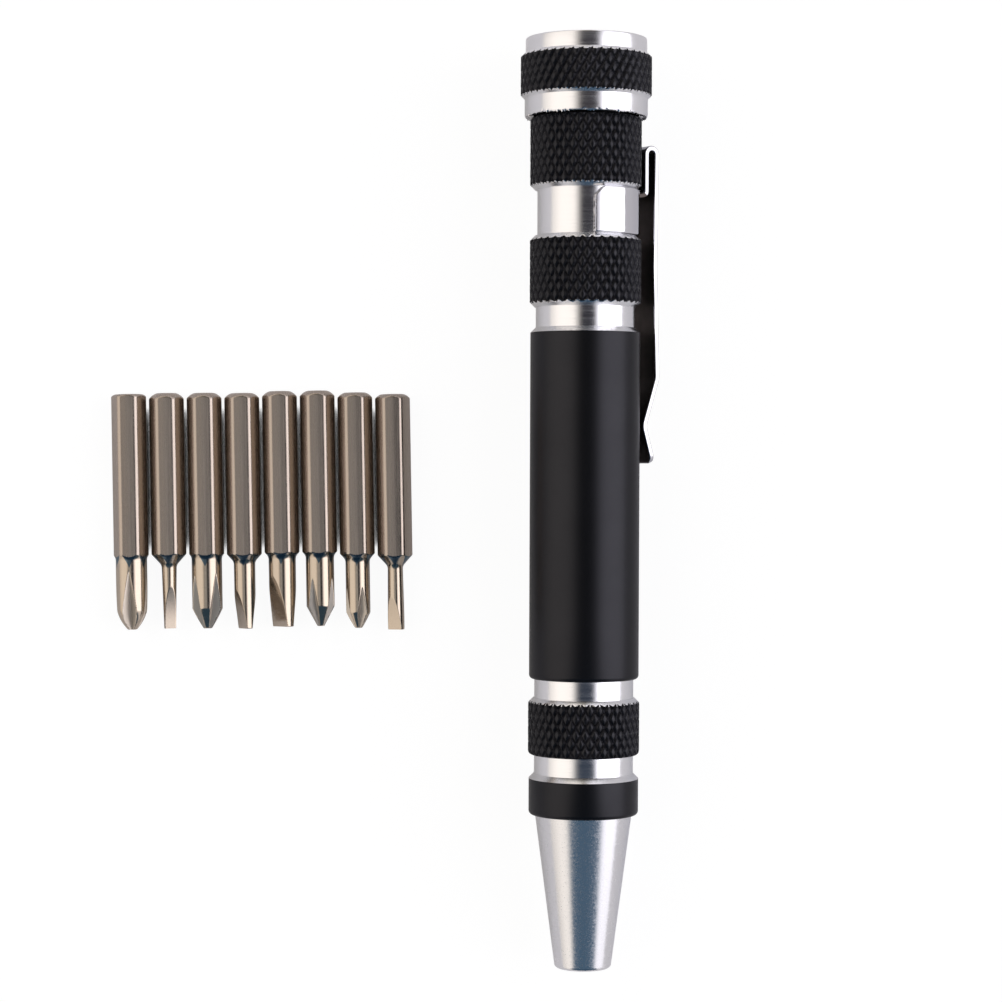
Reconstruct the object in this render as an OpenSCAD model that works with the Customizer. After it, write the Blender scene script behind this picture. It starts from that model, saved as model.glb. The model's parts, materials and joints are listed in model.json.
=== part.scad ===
// Pocket screwdriver in pen form, lying on a table beside the eight hex bits that it stores.
// The nose points along -Y, the cap along +Y, +Z is up, and the table top is z = 0.
// Pieces of the handle are drawn upright, with the nose tip at z = 0, and then laid down.

/* [Bits] */
// Width of a bit's hex shank across its flats
bit_af = 4; // [3.6:0.1:4.4]
// Length of a bit's hex shank
bit_shank_len = 19.8; // [16:0.1:23]
// Length of a bit from the end of its hex to its point
bit_point_len = 9.4; // [7:0.1:12]
// Width of the bevel around the butt end of a bit
bit_butt_bevel = 0.6; // [0.2:0.05:0.8]
// Length of that bevel along the bit
bit_butt_len = 1; // [0.2:0.05:1.5]

/* [Handle lengths] */
// Length of the bare cone in front of the collar
nose_len = 18.8; // [16:0.1:24]
// Length of the smooth collar behind the cone
collar_len = 5.05; // [3:0.05:8]
// Length of the bright groove behind the collar
collar_groove_len = 2.3; // [1.5:0.1:5]
// Length of the front knurled band
front_knurl_len = 6.95; // [4:0.05:10]
// Length of the bright groove in front of the grip
front_groove_len = 2.3; // [1.5:0.1:5]
// Length of the smooth grip
grip_len = 42.85; // [40:0.05:60]
// Length of the bright groove behind the grip
rear_groove_len = 2.5; // [2:0.1:6]
// Length of the rear knurled band
rear_knurl_len = 8.7; // [5:0.1:12]
// Length of the neck that carries the clip
neck_len = 5.6; // [5:0.1:9]
// Length of the top knurled band, up to the shoulder that the cap sits on
top_knurl_len = 8.85; // [7:0.05:12]

/* [Handle walls] */
// Room around four bits that lie side by side in the storage bore
storage_play = 0.06; // [0.02:0.01:0.2]
// Free length left in the store behind two layers of bits
storage_slack = 4.5; // [2:0.5:8]
// Wall between the storage bore and the neck
neck_wall = 0.55; // [0.4:0.05:0.9]
// Wall between the storage bore and the bright grooves
groove_wall = 0.7; // [0.5:0.05:1]
// Wall between the storage bore and the smooth grip
grip_wall = 1.35; // [1.1:0.05:2]
// Height of the knurled bands above the grip
knurl_rise = 0.1; // [0.05:0.01:0.3]
// Round on the black edges of the bands
band_round = 0.5; // [0.2:0.05:0.6]
// Bevel on the bright edges of the bands
band_bevel = 0.6; // [0.2:0.05:0.6]

/* [Nose] */
// Step from the collar down to the back of the cone
collar_step = 0.8; // [0.3:0.05:1.5]
// Wall of the cone around the sleeve at the tip
tip_wall = 0.7; // [0.5:0.05:1.2]
// Round on the rim of the tip
tip_round = 0.5; // [0.2:0.05:0.5]
// Diameter of the spigot that holds the cone in the barrel
nose_spigot_d = 9; // [8:0.1:10]
// Length of that spigot
nose_spigot_len = 8; // [5:0.5:12]
// Wall of the steel sleeve at the corners of its hex
sleeve_wall = 0.45; // [0.3:0.05:0.7]
// Room between a bit and the socket, across the flats
socket_play = 0.06; // [0.02:0.01:0.15]
// Depth of the sleeve's front behind the tip
sleeve_sink = 0.2; // [0.1:0.05:1]
// Length of the round mouth in front of the hex
mouth_len = 1; // [0.5:0.1:2]
// Room of the round mouth around the corners of the hex
mouth_play = 0.06; // [0.04:0.01:0.15]
// Depth of the hex socket in front of the magnet
socket_depth = 11; // [8:0.5:13]
// Length of the magnet
magnet_len = 3; // [2:0.5:5]

/* [Cap] */
// Length of the bright skirt
cap_skirt_len = 2.25; // [2:0.05:4]
// Length of the knurled ring
cap_knurl_len = 5.45; // [3:0.05:8]
// Length of the bright top
cap_top_len = 1.85; // [1.5:0.05:4]
// Wall of the cap around its thread
cap_wall = 1; // [0.7:0.05:1.6]
// Height of the knurled ring above the skirt
cap_knurl_rise = 0.5; // [0.3:0.05:1]
// Step from the skirt's radius in to the top's
cap_top_step = 0.1; // [0:0.05:0.4]
// Thickness of the roof
cap_roof = 2.1; // [1.2:0.1:3]
// Bevel on the knurled ring
cap_knurl_bevel = 0.45; // [0.2:0.05:0.6]
// Bevel on the rim of the top
cap_rim_bevel = 0.2; // [0.1:0.05:0.4]
// Thickness of the soft pad under the roof
cap_pad_t = 1.2; // [0.6:0.1:2]

/* [Thread] */
// Rise of the cap in one turn
thread_pitch = 1.25; // [1:0.05:1.5]
// Height of the thread's ridge
thread_depth = 0.4; // [0.25:0.05:0.5]
// Room between the cap's thread and the barrel's
thread_clear = 0.15; // [0.1:0.01:0.25]
// Wall between the storage bore and the root of the thread
spigot_wall = 0.6; // [0.4:0.05:1]

/* [Clip] */
// Thickness of the strip
clip_t = 0.6; // [0.4:0.05:0.8]
// Width of the strip
clip_w = 5.5; // [4:0.1:7]
// Part of the neck that the band goes round, in degrees
clip_wrap = 233; // [190:1:300]
// Room between the band and the neck
clip_fit = 0.07; // [0.03:0.01:0.15]
// Room at each end of the band on its neck
clip_band_play = 0.05; // [0.05:0.05:0.8]
// Room between the strip and the top knurled band
clip_leg_gap = 0.15; // [0.1:0.05:0.5]
// Height of the bend's crown above the band
clip_head_len = 5.75; // [4:0.05:8]
// Radius of the bend, to the middle of the strip
clip_bend_r = 0.78; // [0.6:0.01:1.2]
// Length from the crown to the heel, where the arm turns in
clip_heel_len = 28.25; // [24:0.25:40]
// Length from the heel to the toe, which presses on the grip
clip_toe_len = 5.85; // [5:0.05:9]
// Length from the toe to the turned-out tip
clip_tip_len = 4.6; // [3:0.05:6]
// How far the middle of the arm bows in
clip_bow = 0.3; // [0:0.05:0.5]
// How far the heel stands out beyond the bend
clip_heel_rise = 0.2; // [0:0.05:0.5]
// How far the tip turns out from the toe
clip_tip_rise = 1.4; // [0.6:0.05:2]
// Room between the toe and the grip
clip_toe_gap = 0.07; // [0.05:0.01:0.3]
// Round on the two corners of the tip
clip_corner_r = 1.2; // [0.5:0.1:1.8]

/* [Layout] */
// Gap between the grip and the nearest bit
bits_gap = 14.1; // [10:0.1:30]
// Distance from the nose tip's plane back to the bits' points
bits_setback = 41.15; // [20:0.05:60]
// Gap between two bits that lie side by side
bit_gap = 0.06; // [0.03:0.01:0.5]
// Turn of each bit on the table, in degrees
bit_turn = 1.2; // [0:0.1:2]

/* [Hidden] */
$fn = 96;

black = "#1d1d1f";
bright = "#d9d9da";
satin = "#b9babd";
chrome = "#e6e6e8";
gunmetal = "#7b736b";
magnet_grey = "#8f9096";
pad_grey = "#3a3b3e";

// Overrun of every cut
over = 0.5;
// Room around pressed-in pieces of one body
press_play = 0.01;
// Room between flat faces that turn or slide on each other
seat_gap = 0.05;

// The eight bits from left to right: kind, then sizes as shares of the sizes that they follow
bit_names = [
    "bit_phillips_2", "bit_slotted_15", "bit_phillips_1", "bit_slotted_25",
    "bit_slotted_30", "bit_phillips_0", "bit_phillips_00", "bit_slotted_20"
];
bit_slotted = [false, true, false, true, true, false, false, true];
// Diameter of the neck over the width across flats
bit_neck_shares = [0.965, 0.46, 0.935, 0.66, 0.84, 0.87, 0.75, 0.47];
// Length of the waisted shoulder between the hex and the neck over the width across flats
bit_shoulder_shares = [0.19, 0.4, 0.22, 0.34, 0.28, 0.26, 0.31, 0.4];
// Diameter at the front of the tip over the neck's
bit_end_shares = [0.3, 0.8, 0.28, 0.97, 0.97, 0.25, 0.29, 1.12];
// Length of a cross point's cone over the neck's diameter
bit_cone_shares = [0.62, 0, 0.66, 0, 0, 0.71, 0.65, 0];
// Length of the ground flats or flutes over the length of the point
bit_ground_shares = [0.8, 0.59, 0.73, 0.52, 0.68, 0.66, 0.56, 0.46];
// Thickness of the blade, or of the wings at the very tip, over the neck's diameter
bit_edge_shares = [0.16, 0.18, 0.16, 0.27, 0.26, 0.16, 0.16, 0.36];
// How far a blade's ground flat runs on beyond the neck, over its depth
ground_run_share = 0.1;
// Turn of the blade or cross about the bit's axis, in degrees
bit_rolls = [48, 68, 3, 148, 139, 74, 21, 122];
// Place of each bit along the row's length, as a share of the width across flats
bit_shift_shares = [-0.055, -0.015, -0.005, -0.005, 0.06, 0.08, 0.025, -0.02];
// Radius of the circle around four hexes lying two by two, over their width across flats
four_hex_share = sqrt(7) / 2;
// Where the shoulder's hollow arc starts, in degrees
shoulder_start = 35;

// Hex bits
bit_len = bit_shank_len + bit_point_len;
bit_corner_r = bit_af / 2 / cos(30);
bit_pitch = 2 * bit_corner_r / cos(bit_turn) + bit_gap;
bit_count = len(bit_names);
bits_per_layer = 4;

// Radii of the barrel, from the storage bore outwards
storage_r = bit_af * four_hex_share + storage_play;
neck_r = storage_r + neck_wall;
groove_r = storage_r + groove_wall;
grip_r = storage_r + grip_wall;
knurl_r = grip_r + knurl_rise;

// Radii of the nose
socket_af = bit_af + socket_play;
socket_r = socket_af / 2 / cos(30);
sleeve_r = socket_r + sleeve_wall;
tip_r = sleeve_r + tip_wall;
cone_r = grip_r - collar_step;
nose_spigot_r = nose_spigot_d / 2;
magnet_r = bit_af / 2;
mouth_r = socket_r + mouth_play;
sleeve_len = mouth_len + socket_depth + magnet_len;
sleeve_end_z = sleeve_sink + sleeve_len;

// Radii of the thread and the cap
spigot_r = storage_r + spigot_wall;
thread_r = spigot_r + thread_depth;
cap_bore_r = thread_r + thread_clear;
cap_skirt_r = cap_bore_r + cap_wall;
cap_knurl_r = cap_skirt_r + cap_knurl_rise;
cap_top_r = cap_skirt_r - cap_top_step;
thread_root_share = 0.52;
thread_crest_share = 0.28;
thread_root_w = thread_pitch * thread_root_share;
thread_crest_w = thread_pitch * thread_crest_share;
thread_turns = 3;
thread_steps = 24;

// Places along the handle's axis
collar_z = nose_len;
collar_groove_z = collar_z + collar_len;
front_knurl_z = collar_groove_z + collar_groove_len;
front_groove_z = front_knurl_z + front_knurl_len;
grip_z = front_groove_z + front_groove_len;
rear_groove_z = grip_z + grip_len;
rear_knurl_z = rear_groove_z + rear_groove_len;
neck_z = rear_knurl_z + rear_knurl_len;
top_knurl_z = neck_z + neck_len;
cap_z = top_knurl_z + top_knurl_len;
cap_knurl_z = cap_z + cap_skirt_len;
cap_top_z = cap_knurl_z + cap_knurl_len;
handle_len = cap_top_z + cap_top_len;
roof_z = handle_len - cap_roof;
pad_z = roof_z - seat_gap - cap_pad_t;
spigot_z = pad_z - seat_gap;
storage_len = bit_count / bits_per_layer * bit_len + storage_slack;
storage_z = spigot_z - storage_len;
thread_z = (cap_z + spigot_z - thread_turns * thread_pitch) / 2;

// The clip's strip, as radius and height of the middle of its thickness
band_in_r = neck_r + clip_fit;
band_out_r = band_in_r + clip_t;
band_z = neck_z + clip_band_play;
band_end_z = top_knurl_z - clip_band_play;
leg_r = knurl_r + clip_leg_gap + clip_t / 2;
crown_z = band_end_z + clip_head_len - clip_t / 2;
bend_z = crown_z - clip_bend_r;
crown_r = leg_r + clip_bend_r;
arm_r = crown_r + clip_bend_r;
heel_r = arm_r + clip_heel_rise;
heel_z = crown_z - clip_heel_len;
toe_r = grip_r + clip_toe_gap + clip_t / 2;
toe_z = heel_z - clip_toe_len;
tip_end_r = toe_r + clip_tip_rise;
tip_end_z = toe_z - clip_tip_len;
waist_z = (bend_z + heel_z) / 2;
step_z = band_end_z - clip_t;
leg_z = step_z + clip_t / 2;
bend_steps = 6;
// Half of the level stretch at the clip's crown, over the radius of its bend
crown_level_share = 0.16;
// Radius of the clip's gentle bends over the strip's thickness
crease_share = 3;
crease_r = clip_t * crease_share;

// How the handle lies: on the front edge of the collar and the front edge of the cap's ring
collar_rest_z = collar_z + band_round;
cap_rest_z = cap_knurl_z + cap_knurl_bevel;
lay_angle = atan((cap_knurl_r - grip_r) / (cap_rest_z - collar_rest_z));
pen_h = grip_r * cos(lay_angle) - collar_rest_z * sin(lay_angle);

// The handle is rolled until the clip's heel touches the table
heel_out_r = heel_r + clip_t / 2;
heel_corner_r = norm([heel_out_r, clip_w / 2]);
heel_h = (pen_h + heel_z * sin(lay_angle) - seat_gap) / cos(lay_angle);
clip_roll = asin(min(1, heel_h / heel_corner_r)) - atan2(clip_w / 2, heel_out_r);
clip_reach = heel_out_r * cos(clip_roll) + clip_w / 2 * sin(clip_roll);

// The whole set is centred on the origin
bits_row_w = bit_count * bit_pitch + bit_len * sin(bit_turn);
pen_x = (grip_r + bits_gap + bits_row_w - max(clip_reach, cap_knurl_r)) / 2;
pen_y = -handle_len * cos(lay_angle) / 2;
bits_x = pen_x - grip_r - bits_gap - bits_row_w;

// Lays an upright piece of the handle on the table
module lay_down() {
    translate([pen_x, pen_y, pen_h]) rotate([lay_angle - 90, 0, 0]) children();
}

// Turns a piece of the clip to the side where its heel meets the table
module clip_side() {
    lay_down() rotate([0, 0, clip_roll]) children();
}

// Lays upright bit number i, butt end at z = 0, in its place in the row
module bit_place(i) {
    x = bits_x + bit_len / 2 * sin(bit_turn) + (i + 1 / 2) * bit_pitch;
    y = pen_y + bits_setback + bit_len / 2 + bit_shift_shares[i] * bit_af;
    translate([x, y, bit_af / 2])
        rotate([0, 0, bit_turn])
            rotate([90, 0, 0])
                translate([0, 0, -bit_len / 2])
                    children();
}

// Outline of one band of the barrel: radius r from z0 to z1, with edges c0 and c1 taken off
function band(r, z0, z1, c0, c1) = [[r - c0, z0], [r, z0 + c0], [r, z1 - c1], [r - c1, z1]];

// Outline of a band's front end with a round of radius c, and its back end with bevel c1
function round_band(r, z0, z1, c, c1) = concat(
    [for (a = [0 : 30 : 90]) [r - c + c * sin(a), z0 + c - c * cos(a)]],
    [[r, z1 - c1], [r - c1, z1]]
);

// Ridge of a thread: a trapezium from radius r0 to r1, of widths w0 and w1, along a helix
module ridge(r0, r1, w0, w1) {
    n = thread_turns * thread_steps;
    section = [[r0, -w0 / 2], [r1, -w1 / 2], [r1, w1 / 2], [r0, w0 / 2]];
    points = [
        for (i = [0 : n], p = section)
            let (a = 360 * i / thread_steps)
                [p[0] * cos(a), p[0] * sin(a), p[1] + thread_pitch * i / thread_steps]
    ];
    turned = r1 > r0;
    sides = [
        for (i = [0 : n - 1], k = [0 : 3])
            let (a = 4 * i + k, b = 4 * i + (k + 1) % 4)
                each turned ? [[a, b, b + 4], [a, b + 4, a + 4]] : [[a, b + 4, b], [a, a + 4, b + 4]]
    ];
    first = turned ? [[0, 2, 1], [0, 3, 2]] : [[0, 1, 2], [0, 2, 3]];
    e = 4 * n;
    last = turned ? [[e, e + 1, e + 2], [e, e + 2, e + 3]] : [[e, e + 2, e + 1], [e, e + 3, e + 2]];
    polyhedron(points, concat(sides, first, last));
}

// Unit vector from a to b
function toward(a, b) = (b - a) / norm(b - a);

// The vector v turned a quarter turn to the left
function left_of(v) = [-v[1], v[0]];

// The path with each inner corner replaced by an arc of radius r
function eased(path, r) = concat(
    [path[0]],
    [for (i = [1 : len(path) - 2]) each ease(path[i - 1], path[i], path[i + 1], r)],
    [path[len(path) - 1]]
);

// Arc of radius r that replaces the corner b between a and c
function ease(a, b, c, r) =
    let (
        u = toward(a, b),
        v = toward(b, c),
        turn = atan2(u[0] * v[1] - u[1] * v[0], u * v),
        start = b - u * r * tan(abs(turn) / 2),
        centre = start + left_of(u) * r * sign(turn),
        spoke = start - centre
    )
    [for (k = [0 : 2]) centre + [
        spoke[0] * cos(turn * k / 2) - spoke[1] * sin(turn * k / 2),
        spoke[0] * sin(turn * k / 2) + spoke[1] * cos(turn * k / 2)
    ]];

// Offset of point i of a path to its left by d, along the mitre of its two sides
function mitre(path, i, d) =
    let (
        last = len(path) - 1,
        u = toward(path[max(i - 1, 0)], path[max(i, 1)]),
        v = toward(path[min(i, last - 1)], path[min(i + 1, last)]),
        m = left_of(u + v)
    )
    path[i] + m * 2 * d / (m * m);

// Closed outline of a strip of thickness t along a path
function strip(path, t) = concat(
    [for (i = [0 : len(path) - 1]) mitre(path, i, t / 2)],
    [for (i = [len(path) - 1 : -1 : 0]) mitre(path, i, -t / 2)]
);

// Point at angle a on the clip's U-bend
function on_bend(a) = [crown_r + clip_bend_r * cos(a), bend_z + clip_bend_r * sin(a)];

// Level end of the clip's strip at the crown, on the band's side or on the arm's
function at_crown(side) =
    [for (d = [crown_level_share * clip_bend_r, seat_gap / 2]) [crown_r + side * d, crown_z]];

// Bent strip of the clip's width along a path of radii and heights
module clip_strip(path) {
    rotate([90, 0, 0]) linear_extrude(clip_w, center = true) polygon(strip(path, clip_t));
}

module barrel() {
    outline = concat(
        [[0, collar_z]],
        round_band(grip_r, collar_z, collar_groove_z, band_round, band_bevel),
        [[groove_r, collar_groove_z], [groove_r, front_knurl_z]],
        round_band(knurl_r, front_knurl_z, front_groove_z, band_round, band_bevel),
        [[groove_r, front_groove_z], [groove_r, grip_z]],
        round_band(grip_r, grip_z, rear_groove_z, band_round, band_bevel),
        [[groove_r, rear_groove_z], [groove_r, rear_knurl_z]],
        band(knurl_r, rear_knurl_z, neck_z, band_bevel, band_bevel),
        [[neck_r, neck_z], [neck_r, top_knurl_z]],
        band(knurl_r, top_knurl_z, cap_z, band_bevel, band_round),
        [[spigot_r, cap_z], [spigot_r, spigot_z], [0, spigot_z]]
    );
    color(black) lay_down() difference() {
        union() {
            rotate_extrude() polygon(outline);
            translate([0, 0, thread_z])
                ridge(spigot_r - thread_clear, thread_r, thread_root_w, thread_crest_w);
        }
        translate([0, 0, storage_z]) cylinder(storage_len + over, r = storage_r);
        translate([0, 0, collar_z - over])
            cylinder(nose_spigot_len + seat_gap + over, r = nose_spigot_r + press_play);
    }
}

module nose_cone() {
    outline = concat(
        [[0, 0]],
        [for (a = [0 : 30 : 90]) [tip_r + tip_round * (sin(a) - 1), tip_round * (1 - cos(a))]],
        [[cone_r, collar_z], [nose_spigot_r, collar_z], [nose_spigot_r, collar_z + nose_spigot_len]],
        [[0, collar_z + nose_spigot_len]]
    );
    color(satin) lay_down() difference() {
        rotate_extrude() polygon(outline);
        translate([0, 0, -over]) cylinder(sleeve_end_z + over, r = sleeve_r + press_play);
    }
}

module bit_sleeve() {
    lead_len = mouth_r - socket_af / 2;
    color(gunmetal) lay_down() translate([0, 0, sleeve_sink]) difference() {
        cylinder(sleeve_len, r = sleeve_r);
        translate([0, 0, mouth_len / 2]) cylinder(sleeve_len, r = socket_r, $fn = 6);
        translate([0, 0, -over]) cylinder(mouth_len + over, r = mouth_r);
        translate([0, 0, mouth_len]) cylinder(lead_len, r1 = mouth_r, r2 = socket_af / 2);
    }
}

module socket_magnet() {
    color(magnet_grey) lay_down() translate([0, 0, sleeve_end_z - magnet_len])
        cylinder(magnet_len, r = magnet_r);
}

module screw_cap() {
    outline = concat(
        [[0, cap_z + seat_gap], [cap_skirt_r, cap_z + seat_gap], [cap_skirt_r, cap_knurl_z]],
        band(cap_knurl_r, cap_knurl_z, cap_top_z, cap_knurl_bevel, cap_knurl_bevel),
        [[cap_top_r, cap_top_z]],
        [[cap_top_r, handle_len - cap_rim_bevel], [cap_top_r - cap_rim_bevel, handle_len]],
        [[0, handle_len]]
    );
    color(bright) lay_down() union() {
        difference() {
            rotate_extrude() polygon(outline);
            translate([0, 0, cap_z - over]) cylinder(roof_z - cap_z + over, r = cap_bore_r);
        }
        translate([0, 0, thread_z + thread_pitch / 2])
            ridge(cap_bore_r + thread_clear, cap_bore_r - thread_depth, thread_root_w, thread_crest_w);
    }
}

module cap_pad() {
    color(pad_grey) lay_down() translate([0, 0, pad_z]) cylinder(cap_pad_t, r = spigot_r);
}

module clip_band() {
    foot_r = (band_in_r + band_out_r) / 2;
    corners = [[foot_r, step_z - clip_t], [foot_r, step_z], [leg_r, leg_z], [leg_r, bend_z]];
    bend = [for (k = [1 : bend_steps - 1]) on_bend(180 - 90 * k / bend_steps)];
    path = concat(eased(corners, clip_t), bend, at_crown(-1));
    color(chrome) clip_side() difference() {
        union() {
            rotate([0, 0, -clip_wrap / 2]) rotate_extrude(angle = clip_wrap)
                translate([band_in_r, band_z]) square([clip_t, band_end_z - band_z]);
            clip_strip(path);
        }
        translate([0, 0, band_z - over]) cylinder(band_end_z - band_z + 2 * over, r = band_in_r);
    }
}

module clip_arm() {
    waist_r = (arm_r + heel_r) / 2 - clip_bow;
    corners = [
        [arm_r, bend_z], [waist_r, waist_z], [heel_r, heel_z], [toe_r, toe_z], [tip_end_r, tip_end_z]
    ];
    bend = [for (k = [1 : bend_steps - 1]) on_bend(90 - 90 * k / bend_steps)];
    crown = at_crown(1);
    path = concat([crown[1], crown[0]], bend, eased(corners, crease_r));
    half_w = clip_w / 2;
    tip_low = tip_end_z - clip_t;
    arc = [for (a = [270 : 15 : 360]) [half_w, tip_low] + clip_corner_r * [cos(a) - 1, sin(a) + 1]];
    front = concat(
        [for (p = arc) p],
        [[half_w, crown_z + over], [-half_w, crown_z + over]],
        [for (i = [len(arc) - 1 : -1 : 0]) [-arc[i][0], arc[i][1]]]
    );
    color(chrome) clip_side() intersection() {
        clip_strip(path);
        rotate([90, 0, 90]) linear_extrude(tip_end_r + arm_r) polygon(front);
    }
}

// Round outline of bit number i, before its flats or flutes are ground
function bit_outline(i) =
    let (
        neck = bit_neck_shares[i] * bit_af / 2,
        end = bit_end_shares[i] * neck,
        cone = bit_cone_shares[i] * 2 * neck,
        shoulder = bit_shoulder_shares[i] * bit_af,
        waist = bit_corner_r - neck
    )
    concat(
        [[0, 0], [bit_corner_r - bit_butt_bevel, 0], [bit_corner_r, bit_butt_len]],
        [
            for (a = [shoulder_start : (90 - shoulder_start) / 5 : 90])
                [
                    neck + waist * (1 - sin(a)) / (1 - sin(shoulder_start)),
                    bit_shank_len + shoulder * (1 - cos(a) / cos(shoulder_start))
                ]
        ],
        bit_slotted[i] ? [] : [[neck, bit_len - cone]],
        [[end, bit_len], [0, bit_len]]
    );

// Two flats that leave the blade of bit number i
module blade_flats(i) {
    neck = bit_neck_shares[i] * bit_af / 2;
    wide = neck * max(1, bit_end_shares[i]);
    thin = bit_edge_shares[i] * neck;
    ground = bit_ground_shares[i] * bit_point_len;
    run = 1 + ground_run_share;
    for (side = [0, 180])
        rotate([0, 0, bit_rolls[i] + side]) rotate([90, 0, 0]) linear_extrude(2 * bit_af, center = true)
            polygon([
                [thin + run * (wide - thin), bit_len - run * ground],
                [thin, bit_len], [thin, bit_len + over],
                [bit_af, bit_len + over], [bit_af, bit_len - run * ground]
            ]);
}

// Four square flutes that leave the wings of bit number i
module cross_flutes(i) {
    neck = bit_neck_shares[i] * bit_af / 2;
    root = bit_edge_shares[i] * neck;
    ground = bit_ground_shares[i] * bit_point_len;
    tilt = atan2(neck - root, ground);
    for (side = [45 : 90 : 315])
        rotate([0, 0, bit_rolls[i] + side]) translate([root, 0, bit_len]) rotate([0, -tilt, 0])
            translate([0, 0, -2 * ground]) linear_extrude(2 * ground + bit_af)
                polygon([[0, 0], [bit_af, -bit_af], [bit_af, bit_af]]);
}

module bit(i) {
    color(gunmetal) bit_place(i) difference() {
        intersection() {
            cylinder(bit_len, r = bit_corner_r, $fn = 6);
            rotate_extrude() polygon(bit_outline(i));
        }
        if (bit_slotted[i]) blade_flats(i);
        if (!bit_slotted[i]) cross_flutes(i);
    }
}

barrel();
nose_cone();
bit_sleeve();
socket_magnet();
screw_cap();
cap_pad();
clip_band();
clip_arm();
for (i = [0 : bit_count - 1]) bit(i);
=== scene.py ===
import json
import math

import bpy
import numpy as np
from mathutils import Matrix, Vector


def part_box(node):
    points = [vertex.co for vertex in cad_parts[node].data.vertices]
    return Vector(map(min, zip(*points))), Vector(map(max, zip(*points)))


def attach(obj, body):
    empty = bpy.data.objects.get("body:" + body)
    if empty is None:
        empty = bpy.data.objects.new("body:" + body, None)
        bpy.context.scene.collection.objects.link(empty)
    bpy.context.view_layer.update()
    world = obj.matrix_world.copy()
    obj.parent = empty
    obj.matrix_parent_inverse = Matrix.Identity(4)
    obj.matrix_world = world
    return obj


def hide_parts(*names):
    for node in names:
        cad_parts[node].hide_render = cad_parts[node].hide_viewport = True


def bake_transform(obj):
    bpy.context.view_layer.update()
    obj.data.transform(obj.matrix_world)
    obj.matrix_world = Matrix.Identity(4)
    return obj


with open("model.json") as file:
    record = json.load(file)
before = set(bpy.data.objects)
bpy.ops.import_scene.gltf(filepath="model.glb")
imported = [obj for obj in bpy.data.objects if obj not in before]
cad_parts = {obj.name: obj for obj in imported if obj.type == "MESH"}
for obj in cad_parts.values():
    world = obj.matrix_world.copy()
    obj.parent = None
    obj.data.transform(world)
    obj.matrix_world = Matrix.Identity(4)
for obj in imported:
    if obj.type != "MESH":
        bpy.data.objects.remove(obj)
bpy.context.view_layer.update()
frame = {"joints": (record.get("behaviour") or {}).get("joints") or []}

mm = 0.001
tau = 2 * math.pi
uncut = math.inf  # the spacing of a run that stays in one piece
scene = bpy.context.scene

# the pen lies along the cap's screw axis, and stations are millimetres from the nose tip
pen = {
    "collar": 18.8, "collarGroove": 23.85, "frontKnurl": 26.15, "frontGroove": 33.1, "grip": 35.4,
    "rearGroove": 78.25, "rearKnurl": 80.75, "neck": 89.45, "topKnurl": 95.05, "cap": 103.9,
    "capKnurl": 106.15, "capTop": 111.6, "end": 113.45, "roof": 111.35, "spigotEnd": 110.05,
    "store": 47.15, "noseSpigot": 26.8,
}
joints = {j["name"]: j for j in frame["joints"]}
penAxis = np.array(joints["cap_turn"]["axis"], float)
penAxis /= np.linalg.norm(penAxis)
sideAxis = np.array([1.0, 0.0, 0.0])
downAxis = np.cross(penAxis, sideAxis)
penTip = np.array(joints["cap_turn"]["pos_m"], float) - penAxis * pen["cap"] * mm


def onPen(radius, angle, station):
    # a radius out from the axis, turned by the angle from +X downwards, at a station along the axis
    r, a, s = np.broadcast_arrays(radius, angle, station)
    out = (r * np.cos(a))[..., None] * sideAxis + (r * np.sin(a))[..., None] * downAxis
    return penTip + mm * (s[..., None] * penAxis + out)


def roundAngles(columns):
    # equal steps once round the axis
    return np.arange(columns) / columns * tau


def softMin(a, b, width):
    # the smaller of two heights, with the crease between them rounded over a width
    h = np.clip(0.5 + 0.5 * (b - a) / width, 0, 1)
    return b + (a - b) * h - width * h * (1 - h)


def drawnIn(toEnd, radius):
    # how far a quarter circle at an end draws the edge in, at a distance from that end
    return radius - np.sqrt(np.maximum(radius**2 - np.maximum(radius - toEnd, 0) ** 2, 0))


def hexRadius(angle, halfFlat, rounding, crown):
    # distance from the axis to a hexagon's edge: half the flat over the cosine, an arc at each corner,
    # and flats that fall away a little towards the corners
    fromFlat = np.abs((angle + tau / 12) % (tau / 6) - tau / 12)
    flat = halfFlat / np.cos(fromFlat)
    inset = (halfFlat - rounding) / math.cos(tau / 12)
    fromCorner = tau / 12 - fromFlat
    rise = np.sqrt(np.maximum(rounding**2 - (inset * np.sin(fromCorner)) ** 2, 0))
    arcStarts = math.atan2((halfFlat - rounding) * math.tan(tau / 12), halfFlat)
    edge = np.where(fromFlat > arcStarts, inset * np.cos(fromCorner) + rise, flat)
    return edge - crown * (1 - np.cos(6 * fromFlat)) / 2


def sixVolumes(a, b, c):
    # six times the volume between the origin and the triangles a, b, c
    return np.einsum("ij,ij->", a, np.cross(b, c))


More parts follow.
